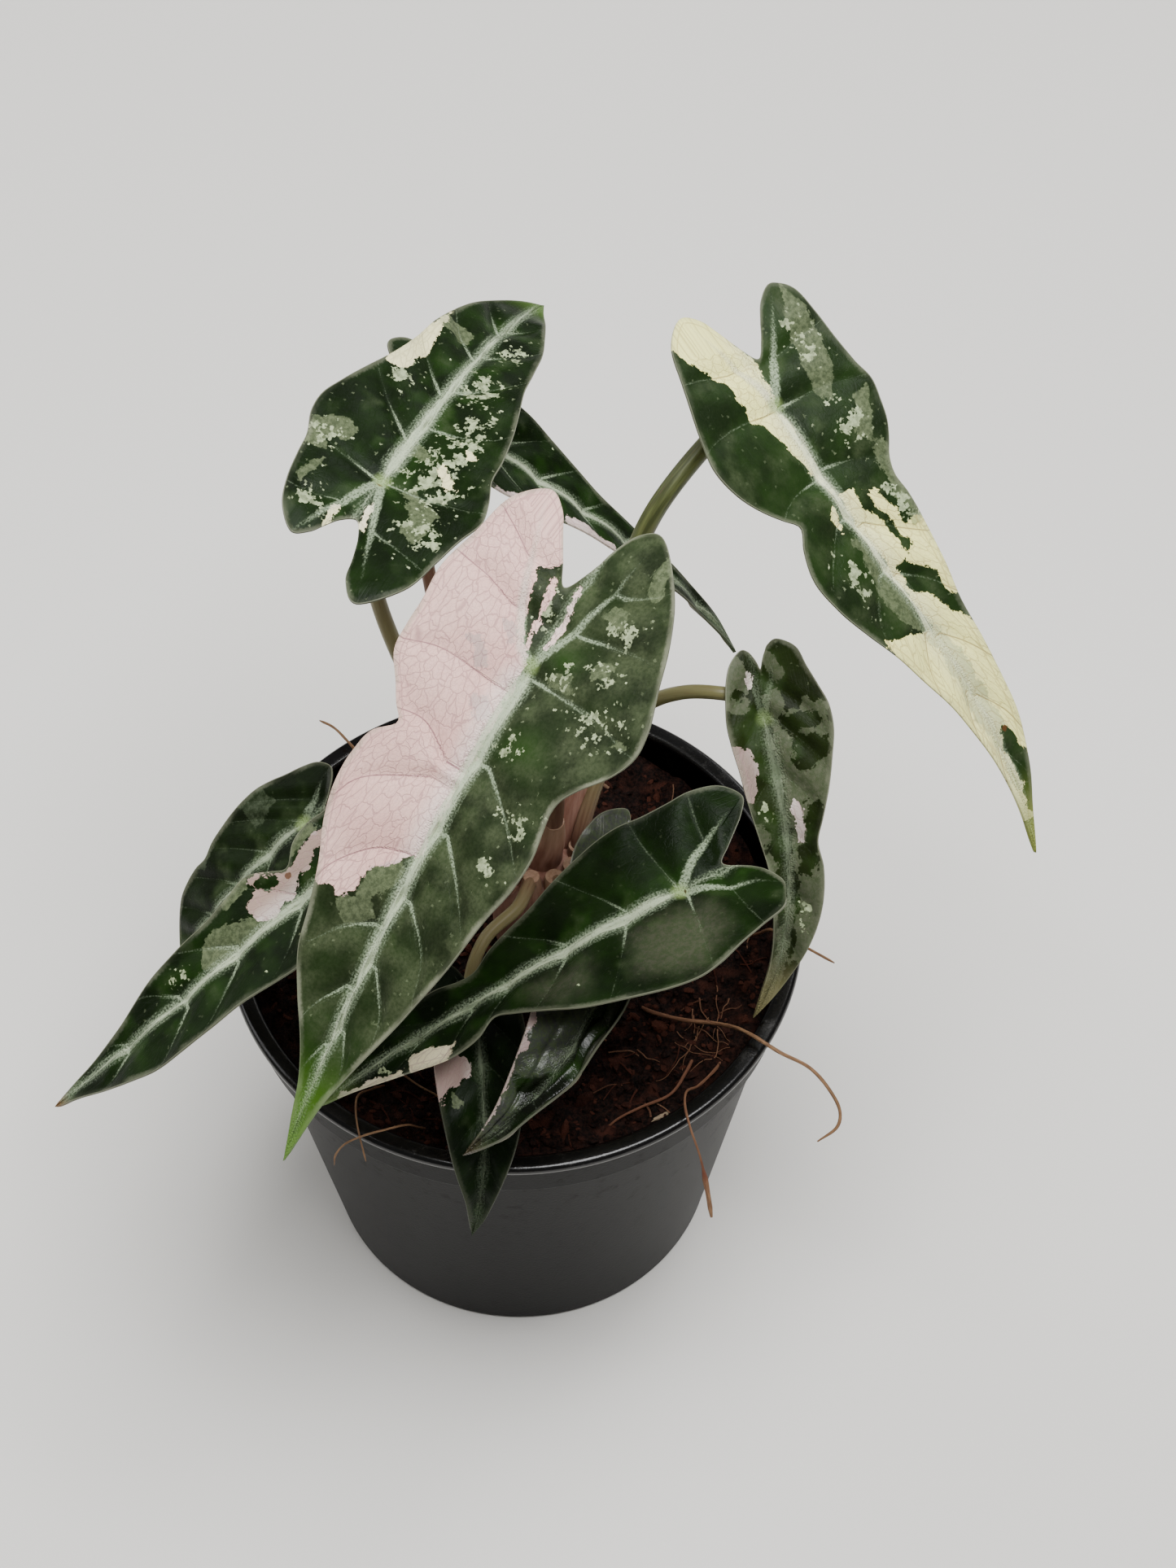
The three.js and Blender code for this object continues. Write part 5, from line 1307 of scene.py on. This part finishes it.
def foot_of(stem_name, stem):
    """The swollen foot of one stalk. A broad one follows its stalk for a while."""
    widest = BROAD_FEET.get(stem_name, SLIM_FOOT)
    rise = [socket_point(stem["socket"], height) for height in FOOT_HEIGHTS]
    if stem_name in BROAD_FEET:
        rise += [tuple(point) for point in stem_path(stem_name, 60)[4:18:4]]
    else:
        rise.append(socket_point(stem["socket"], CROWN_TOP + 3))
    centres = smooth_path(rise, 30)
    swell = (3.0, widest, 0.85 * widest, stem["base"] + 0.15)
    return centres, np.interp(np.linspace(0, 1, 31), (0, 0.45, 0.75, 1), swell), 24, 1.0


feet = [foot_of(stem_name, stem) for stem_name, stem in STEMS.items()]
dry_sheath = (smooth_path(DRY_SHEATH, 24), np.linspace(1.7, 0.35, 25), 12, 0.45)
points, faces, numbers = join([bundle([*feet, dry_sheath]), sheath_body()])
add_piece("crown_sheaths", points, faces, [fleshy_sheath], numbers=numbers, stands_for=["crown"])
print("crown of", SHEATHS, "wrapped sheaths and", len(feet), "feet")

# %% [markdown]
# ## Bare roots
# Some roots have left the mix. They lie on it and hang over the rim, dry and pale brown, rusty where they are
# young or damp, never quite round and with small knuckles. Each is a strand along its measured path, whose radius
# wanders a little. Two of them have a girth and rust of their own, and the front one ends in a thick pale stub.

# %% Roots in millimetres
ROOTS = {
    "over_right_rim": (0.75, [
        (25, -13, 84), (28, -18, 88), (35, -20.5, 88.6), (42, -23, 91), (47.5, -29, 97.2), (54, -34, 97.6),
        (60, -36, 95), (64, -38.5, 91), (66.5, -41, 86), (66, -43, 83.5), (62, -45, 81)]),
    "over_front_rim": (0.7, [
        (43, -27, 84), (41, -33, 89), (37.5, -38.5, 92), (35, -42.3, 96), (34.6, -46, 97.3), (35.5, -51, 97.2),
        (37.5, -56, 94), (39, -60, 88), (40, -63, 82)]),
    "on_soil": (0.7, [
        (38, -24, 84), (35.5, -32, 87.6), (32, -38, 88), (26, -41, 87.9), (21, -44, 87.9), (17, -46, 84)]),
    "left_front": (0.42, [
        (-24, -29, 84), (-22.5, -33, 87.5), (-19, -36, 87.8), (-15, -38.5, 87.5), (-13, -40, 84)]),
    "over_left_rim": (0.42, [
        (-25, -33, 84), (-28.5, -38, 90), (-31, -43, 95.4), (-31, -48.5, 97.1), (-30, -53.5, 96.6),
        (-29, -56, 92)]),
    "left_tail": (0.42, [
        (-17, -44, 84), (-19, -47.5, 91), (-21, -50, 96), (-25, -52.5, 98.4), (-29.5, -54.3, 98.9),
        (-33, -55.8, 98.2), (-34.8, -56.8, 95.8), (-35.2, -57.3, 92.8)]),
    "right_stub": (0.6, [
        (48, 3, 84), (51, 0, 90), (53.5, -3, 95.8), (57.5, -6.5, 97.3), (62, -9.5, 97.3), (66, -12, 97)]),
    "back_left": (0.6, [
        (-31, 38, 84), (-33, 41, 90), (-34.5, 42.8, 96), (-37, 45.5, 97.4), (-40, 49, 97.3), (-43, 51, 97)]),
}
ROOT_SIDES = 12
ROOT_STRETCH = 2

# A dry root has shrunk to this share of its plain solid's radius
SHRUNK = 0.62

# Girth and rust along a root: shares of the way, then the value at each
USUAL_GIRTH = ((0, 0.12, 0.96, 1), (0.6, 1, 0.71, 0.35))
GIRTHS = {
    "on_soil": ((0, 0.15, 0.96, 1), (0.45, 0.85, 0.55, 0.3)),
    "over_front_rim": ((0, 0.12, 0.45, 0.77, 0.82, 0.96, 1), (0.5, 0.85, 0.6, 0.5, 1.25, 1.05, 0.6)),
}
USUAL_RUST = ((0, 0.3, 0.5), (0.7, 0.4, 0))
RUSTS = {
    "on_soil": ((0, 1), (0.75, 0.75)),
    "over_front_rim": ((0, 0.7, 0.8, 0.85, 1), (0.6, 0.5, 1, 0.3, 0)),
}
print(len(ROOTS), "roots measured")

# %% Roots
ROOT_BARK = ("#62452d", "#957352")
SOIL_STAIN = "#442d20"
ROOT_RUST = "#5a2e1c"


def root_skin():
    """Dried root bark. It looks matt and dusty, blotched every 3 mm or so, and darker where soil sticks to it."""
    made, node = new_material("dried_root_bark", Roughness=0.75, IOR=1.45)
    place = node("Attribute", attribute_name="place", out="Vector")
    blotch = node("TexNoise", place, 0.62, 4.0, 0.6)
    skin = node("Mix", node("MapRange", blotch, 0.3, 0.7), *ROOT_BARK)
    stain = node("MapRange", node("TexNoise", place, 1.4, 2.0), 0.55, 0.68, 0.0, 0.75)
    skin = node("Mix", stain, skin, SOIL_STAIN)
    rust = node("Attribute", attribute_name="rust", out="Fac")
    skin = node("Mix", rust, skin, ROOT_RUST)
    feed(made, Base_Color=skin, Normal=node("Bump", 1.0, 0.0002, None, blotch))
    return made


dry_root = root_skin()
for root_name, (radius, path) in ROOTS.items():
    steps = 8 * len(path)
    centres = smooth_path(path, steps)
    share = np.linspace(0, 1, steps + 1)
    knuckles = [1 + 0.22 * noise.noise(Vector((s * steps * 0.23, radius * 9, len(path)))) for s in share]
    radii = SHRUNK * radius * np.array(knuckles) * np.interp(share, *GIRTHS.get(root_name, USUAL_GIRTH))
    points, faces, run = strand(centres, radii, ROOT_SIDES)
    numbers = {"rust": np.interp(run, *RUSTS.get(root_name, USUAL_RUST)),
               "place": strand_place(centres, ROOT_SIDES, ROOT_STRETCH)}
    add_piece("bare_root_" + root_name, points, faces, [dry_root], numbers=numbers,
              stands_for=["root_" + root_name])
print(len(ROOTS), "bare roots")

# %% [markdown]
# ## Bark and peat
# The potting mix is composted bark and peat: dark reddish-brown crumbs of every size up to about 8 mm. The
# surface is one relief made of lumps and pits. On it lie a few thousand loose crumbs, each a small uneven
# chunk of its own, and fine fibres. Scattered instances would be lighter, but a real mesh is exported like every
# other piece. So all of them are one, with a number that varies its tone.

# %% Soil relief in millimetres
SOIL_LEVEL = 86.5
SOIL_RELIEF = 0.8

# Broad waves: their rates along x and y, phase and share of the relief
SOIL_WAVES = ((0.31, 0.37, 1.3, 0.7), (0.83, 0.61, 0, 0.6), (0.72, -0.95, 2, 0.5))
SOIL_RADIUS = 55.3

# The side and the underside, as radius and height
SOIL_BODY = ((SOIL_RADIUS, 84.6), (53.5, 81.8), (41.2, 4.6), (40, 3.7))
SOIL_RINGS = 90
SOIL_SECTORS = 330


def soil_height(x, y):
    """Height of the mix's surface: broad waves, then clods of 5 mm, crumbs of 2 mm and grit."""
    wave = sum(share * math.sin(a * x + b * y + phase) for a, b, phase, share in SOIL_WAVES)
    clod = noise.noise(Vector((x / 5, y / 5, 0)))
    crumb = noise.voronoi(Vector((x / 2, y / 2, 3)))[0][0]
    grit = noise.noise(Vector((x / 0.9, y / 0.9, 7)))
    return SOIL_LEVEL + SOIL_RELIEF * wave * 0.6 + 1.1 * clod - 0.9 * crumb ** 2 + 0.55 * grit + 0.4


def soil_surface():
    """The relief, and a plain side and floor inside the pot."""
    points, tones = [], []
    rings = [(SOIL_RADIUS * (k / SOIL_RINGS), None) for k in range(1, SOIL_RINGS + 1)] + list(SOIL_BODY)
    for radius, height in rings:
        for angle in around(SOIL_SECTORS):
            x, y = radius * math.cos(angle), radius * math.sin(angle)
            points.append((x, y, soil_height(x, y) if height is None else height))
            tones.append(0.5 + 0.5 * noise.noise(Vector((x / 3, y / 3, 1))))
    faces = [(a, d, c, b) for a, b, c, d in ring_cells(len(rings), SOIL_SECTORS)]
    faces.append(tuple(range(SOIL_SECTORS)))
    faces.append(tuple(range((len(rings) - 1) * SOIL_SECTORS, len(rings) * SOIL_SECTORS))[::-1])
    return points, faces, {"tone": tones}


print(SOIL_RINGS * SOIL_SECTORS, "points in the relief of the mix")

# %% Crumbs and fibres in millimetres
CRUMBS = 3600
CRUMB_SIZES = (0.45, 0.6, 0.75, 0.95, 1.3)
CHIPS = 45
FIBRES = 100
FIBRE_POINTS = 5
BED = 53.5
FIBRE_BED = 50
CLEAR_OF_CROWN = 12

# The one chip with a place of its own: a pale sliver of wood near the front rim
PALE_CHIP = dict(x=30.5, y=-42.9, shape=(2.9, 0.5, 0.35), turn=0.62, tone=1.4)


def unit_chunk(subdivisions):
    """Corners and faces of a ball of triangles."""
    ball = bmesh.new()
    bmesh.ops.create_icosphere(ball, subdivisions=subdivisions, radius=1)
    corners = np.array([v.co for v in ball.verts])
    sides = [tuple(v.index for v in face.verts) for face in ball.faces]
    ball.free()
    return corners, sides


def free_spot(reach):
    """A random place on the mix, clear of the crown."""
    while True:
        x, y = (draw.uniform(-reach, reach) for _ in range(2))
        if math.hypot(x, y) < reach and math.hypot(x - CROWN[0], y - CROWN[1]) > CLEAR_OF_CROWN:
            return x, y


def lay_chunk(chunk, x, y, shape, turn, tone):
    """One crumb on the mix: a dented ball, stretched to its shape, tilted and turned."""
    corners, sides = chunk
    tilt = draw.uniform(-0.5, 0.5)
    dents = np.array([1 + 0.5 * noise.noise(Vector(c) * 1.9 + Vector((x, y, shape[0]))) for c in corners])
    body = corners * dents[:, None] * np.array(shape)
    c, s, ct, st = math.cos(turn), math.sin(turn), math.cos(tilt), math.sin(tilt)
    body = body @ np.array([[ct, 0, -st], [0, 1, 0], [st, 0, ct]]) @ np.array([[c, s, 0], [-s, c, 0], [0, 0, 1]])
    body = body + np.array([x, y, soil_height(x, y) + shape[2] * 0.3])
    return body, sides, {"tone": np.full(len(body), tone)}


def lay_fibre():
    """One fine fibre that bends over the mix, or None where too little of it is left inside the pot."""
    x, y = free_spot(FIBRE_BED)
    turn, bend, reach = draw.uniform(0, 2 * math.pi), draw.uniform(-0.7, 0.7), draw.uniform(3, 9)
    line = []
    for share in np.linspace(0, 1, FIBRE_POINTS):
        px = x + reach * share * math.cos(turn + bend * share)
        py = y + reach * share * math.sin(turn + bend * share)
        if math.hypot(px, py) > BED:
            break
        line.append((px, py, soil_height(px, py) + 0.35))
    if len(line) < 3:
        return None
    body, faces, _ = strand(smooth_path(line, 10), np.full(11, draw.uniform(0.1, 0.24)), 6)
    return body, faces, {"tone": np.full(len(body), draw.uniform(0.75, 1.3))}


draw = random.Random(7)
small_chunk, big_chunk = unit_chunk(1), unit_chunk(2)
mix = [soil_surface()]
for k in range(CRUMBS + CHIPS):
    chip = k >= CRUMBS
    size = draw.uniform(1.2, 2.3) if chip else draw.choice(CRUMB_SIZES) * draw.uniform(0.8, 1.2)
    x, y = free_spot(BED - size)
    shape = (size, size * draw.uniform(0.4, 0.8), size * draw.uniform(0.25, 0.5))
    chunk = big_chunk if chip else small_chunk
    mix.append(lay_chunk(chunk, x, y, shape, draw.uniform(0, 2 * math.pi), draw.random()))
mix.append(lay_chunk(big_chunk, **PALE_CHIP))
mix += filter(None, [lay_fibre() for _ in range(FIBRES)])
print(len(mix) - 1, "crumbs and fibres laid")


# %% Soil material
PEAT = ("#080403", "#25140f")

# From this tone to that one, this share of this brown
SOIL_TONES = ((0.45, 1.0, 0.8, "#48271d"), (1.0, 1.3, 0.8, "#80604a"), (1.32, 1.4, 0.9, "#8d7d68"))


def soil_skin():
    """Damp bark and peat: matt, near black in the pits, reddish brown on the crumbs, and one pale chip."""
    made, node = new_material("composted_bark_and_peat", Roughness=0.85, IOR=1.4, Specular_IOR_Level=0.15)
    where = node("TexCoord", out="Object")
    tone = node("Attribute", attribute_name="tone", out="Fac")
    fine = node("TexNoise", where, 1 / (0.8 * MM), 4.0, 0.65)
    skin = node("Mix", node("MapRange", fine, 0.38, 0.66), *PEAT)
    for start, end, cover, brown in SOIL_TONES:
        skin = node("Mix", node("MapRange", tone, start, end, 0.0, cover), skin, brown)
    damp = node("MapRange", node("TexNoise", where, 1 / (6 * MM)), 0.4, 0.7, 0.7, 0.95)
    grit = node("TexNoise", where, 1 / (0.5 * MM), 3.0)
    feed(made, Base_Color=skin, Roughness=damp, Normal=node("Bump", 1.0, 0.0005, None, grit))
    return made


points, faces, numbers = join(mix)
add_piece("potting_mix", points, faces, [soil_skin()], numbers=numbers, stands_for=["soil"])
print("mix of", CRUMBS + CHIPS, "crumbs,", len(faces), "faces")

# %% [markdown]
# ## Root hairs
# Where the bare roots leave the mix, finer ones fan out over it like threads. They hug the crumbs and cross each
# other, so each is a short wandering walk over the surface of the mix, made a thin strand like the roots.

# %% Root hairs
ROOT_HAIRS = 24
HAIR_HOME = (41, -24)
HAIR_STEP = 1.4
HAIR_BED = 52
HAIR_RUST = 0.55
hairs = []
for _ in range(ROOT_HAIRS):
    x, y = HAIR_HOME[0] + draw.gauss(0, 7), HAIR_HOME[1] + draw.gauss(0, 11)
    heading = draw.uniform(-2.6, 0.4)
    line = []
    for _ in range(draw.randint(4, 12)):
        if math.hypot(x, y) > HAIR_BED:
            break
        line.append((x, y, soil_height(x, y) + 0.45))
        heading += draw.uniform(-0.5, 0.5)
        x, y = x + HAIR_STEP * math.cos(heading), y + HAIR_STEP * math.sin(heading)
    if len(line) > 3:
        steps = 3 * len(line)
        hairs.append((smooth_path(line, steps), np.linspace(draw.uniform(0.1, 0.18), 0.07, steps + 1), 6, 1.0))
points, faces, numbers = bundle(hairs)
numbers["rust"] = np.full(len(points), HAIR_RUST)
add_piece("root_hairs", points, faces, [dry_root], numbers=numbers)
print(len(hairs), "root hairs")

# %% [markdown]
# ## The nursery pot
# A nursery pot is injection-moulded polypropylene, coloured black all through. Its wall is a little over a
# millimetre, with a flat rolled lip, a stepped collar and drain holes in the floor. The turned shape is a
# profile spun about the axis, with every corner rounded, and the holes are cut from it. The lip is glossier than
# the wall, because hands and benches have polished it.

# %% Pot profile in millimetres
POT_PROFILE = [
    (0, 0), (17, 0), (17.7, 2), (34.8, 2), (35.5, 0), (42.3, 0), (43, 0.7), (55.6, 82), (57.5, 82.7),
    (58.2, 92.6), (59.3, 92.6), (60, 93.3), (60, 94.3), (59.3, 95), (56.7, 95), (56, 94.3), (56, 84.6),
    (54.3, 82), (41.7, 4), (41, 3.3), (0, 3.3)]
CORNER_RADIUS = 0.6
POT_SEGMENTS = 192
LIP_FROM = 92
DRAIN_CIRCLE = 26
DRAIN_RADIUS = 3.5
DRAINS = 6


def rounded(profile, radius, steps):
    """A profile whose inner corners are replaced by short arcs."""
    p = np.array(profile, float)
    fine = [p[0]]
    for a, b, c in zip(p[:-2], p[1:-1], p[2:]):
        reach = min(radius, 0.45 * np.linalg.norm(b - a), 0.45 * np.linalg.norm(c - b))
        start, end = b + unit(a - b) * reach, b + unit(c - b) * reach
        for t in np.linspace(0, 1, steps):
            fine.append((1 - t) ** 2 * start + 2 * t * (1 - t) * b + t * t * end)
    return np.array(fine + [p[-1]])


def spin(profile, segments):
    """The solid that a profile from axis to axis sweeps about the Z axis."""
    points = [(0, 0, profile[0][1])]
    for radius, height in profile[1:-1]:
        points.extend((radius * math.cos(a), radius * math.sin(a), height) for a in around(segments))
    points.append((0, 0, profile[-1][1]))
    faces = []
    rings = len(profile) - 2
    for k in range(segments):
        n = (k + 1) % segments
        faces.append((0, 1 + n, 1 + k))
        for ring in range(rings - 1):
            a, b = 1 + ring * segments + k, 1 + ring * segments + n
            faces.append((a, b, b + segments, a + segments))
        last = 1 + (rings - 1) * segments
        faces.append((last + k, last + n, len(points) - 1))
    return points, faces


print("the pot is", 2 * max(radius for radius, _ in POT_PROFILE), "mm across")

# %% Pot material
PLASTIC_BLACK = "#030303"
DRIED_SPLASH = "#28241f"


def plastic_skin(name, gloss, roughness):
    """Moulded polypropylene, IOR 1.49: an even satin black, dusted with dried water and soil near the lip."""
    made, node = new_material(name, IOR=1.49, Specular_IOR_Level=gloss)
    where = node("TexCoord", out="Object")
    height = node("SeparateXYZ", where, out="Z")
    dust = node("MapRange", node("TexNoise", where, 1 / (4 * MM), 6.0, 0.7), 0.52, 0.75)
    dust = node("Math", dust, node("MapRange", height, 0.04, 0.09, 0.04, 0.3), **TIMES)
    skin = node("Mix", dust, PLASTIC_BLACK, DRIED_SPLASH)
    grain = node("TexNoise", where, 1 / (0.5 * MM), 2.0)
    feed(made, Base_Color=skin, Roughness=node("Math", dust, 0.5, roughness, **TIMES_PLUS),
         Normal=node("Bump", 1.0, 0.00003, None, grain))
    return made


plastics = [plastic_skin("moulded_black_polypropylene", 0.05, 0.4),
            plastic_skin("polished_black_polypropylene", 0.5, 0.22)]
print(len(plastics), "plastics")


# %% Pot
def drain_cutter():
    """A plain object with a rod through the floor at each drain hole."""
    rods = []
    for drain in range(DRAINS):
        angle = 2 * math.pi * drain / DRAINS
        centre = np.array([DRAIN_CIRCLE * math.cos(angle), DRAIN_CIRCLE * math.sin(angle), 0])
        axis = np.array([centre + (0, 0, height) for height in (-2, 2.6, 6)])
        rods.append((*strand(axis, np.full(3, DRAIN_RADIUS), 24)[:2], {}))
    points, faces, _ = join(rods)
    mesh = bpy.data.meshes.new("drain_cutter")
    mesh.from_pydata((points * MM).tolist(), [], faces)
    return add_object("drain_cutter", mesh)


pot_points, pot_faces = spin(rounded(POT_PROFILE, CORNER_RADIUS, 4), POT_SEGMENTS)
on_lip = [min(pot_points[v][2] for v in face) > LIP_FROM for face in pot_faces]
nursery_pot = add_piece("nursery_pot", pot_points, pot_faces, plastics, on_lip, stands_for=["pot"])
cutter = drain_cutter()
cut = nursery_pot.modifiers.new("drains", "BOOLEAN")
cut.object, cut.operation, cut.solver = cutter, "DIFFERENCE", "EXACT"
bpy.context.view_layer.update()
drained = bpy.data.meshes.new_from_object(nursery_pot.evaluated_get(bpy.context.evaluated_depsgraph_get()))
nursery_pot.modifiers.clear()
nursery_pot.data = drained
bpy.data.objects.remove(cutter)
print("pot with", DRAINS, "drain holes,", len(nursery_pot.data.polygons), "faces")

# %% [markdown]
# ## Stage, light and camera
# The plant stands on a plain pale floor under three large soft lights, as in a small studio. The strongest hangs
# almost overhead, so that the leaves' gloss falls towards the floor and their green stays deep. The camera looks
# down steeply from in front, at the angle from which the plant was measured: the pot's rim is a circle, so the
# ellipse that it makes gives the angle, and its size gives the distance.

# %% Stage and light
FLOOR_REACH = 4.0
AIM = (0, 0, 0.12)
PAPER = ("#e6e4df", "#ebe9e5")
SURROUND = "#e4e3e0"
SURROUND_STRENGTH = 0.22

# Place and size in metres, and power in watts
LIGHTS = {
    "key": ((0.15, -0.1, 1.25), 0.8, 25),
    "fill": ((-0.8, 0.4, 0.8), 0.9, 5),
    "back": ((0.6, 0.9, 0.9), 0.6, 4),
}


def matt_floor():
    """Pale matt paper, so slightly clouded, every 0.3 m, that it doesn't look computed."""
    made, node = new_material("matt_floor_paper", Roughness=0.9)
    cloud = node("TexNoise", node("TexCoord", out="Object"), 3.3)
    feed(made, Base_Color=node("Mix", cloud, *PAPER))
    return made


def soft_light(name, place, size, power):
    """A square area light that faces the plant."""
    lamp = bpy.data.lights.new(name, "AREA")
    lamp.size, lamp.energy = size, power
    made = add_object(name, lamp)
    made.location = place
    made.rotation_euler = (Vector(AIM) - Vector(place)).to_track_quat("-Z", "Y").to_euler()


floor_corners = [(FLOOR_REACH * x, FLOOR_REACH * y, 0) for x, y in ((-1, -1), (1, -1), (1, 1), (-1, 1))]
floor_mesh = bpy.data.meshes.new("floor")
floor_mesh.from_pydata(floor_corners, [], [(0, 1, 2, 3)])
floor_mesh.materials.append(matt_floor())
add_object("floor", floor_mesh)
for light_name, setting in LIGHTS.items():
    soft_light(light_name, *setting)
world = bpy.data.worlds.new("studio")
world.use_nodes = True
surround = world.node_tree.nodes["Background"].inputs
surround["Color"].default_value = colour(SURROUND)
surround["Strength"].default_value = SURROUND_STRENGTH
bpy.context.scene.world = world
print("stage and", len(bpy.data.lights), "lights")

# %% Camera
CAMERA_DOWN = math.radians(53.5)
CAMERA_DISTANCE = 0.7
RIM_CENTRE = Vector((0, 0, 0.095))

# The rim's centre is left of the picture's middle and below it, by this much in metres
OFF_RIGHT = 0.01525
OFF_UP = 0.0284

SENSOR = 36
LONG_SIDE_PIXELS = 1927
FOCAL_PIXELS = 4126
forward = Vector((0, math.cos(CAMERA_DOWN), -math.sin(CAMERA_DOWN)))
upward = Vector((0, math.sin(CAMERA_DOWN), math.cos(CAMERA_DOWN)))
lens = bpy.data.cameras.new("camera")
lens.sensor_width = SENSOR
lens.lens = SENSOR * FOCAL_PIXELS / LONG_SIDE_PIXELS
camera = add_object("camera", lens)
camera.location = RIM_CENTRE - forward * CAMERA_DISTANCE + Vector((OFF_RIGHT, 0, 0)) + upward * OFF_UP
camera.rotation_euler = (math.pi / 2 - CAMERA_DOWN, 0, 0)
bpy.context.scene.camera = camera
print("camera at", [round(c, 3) for c in camera.location], "lens", round(lens.lens, 1))
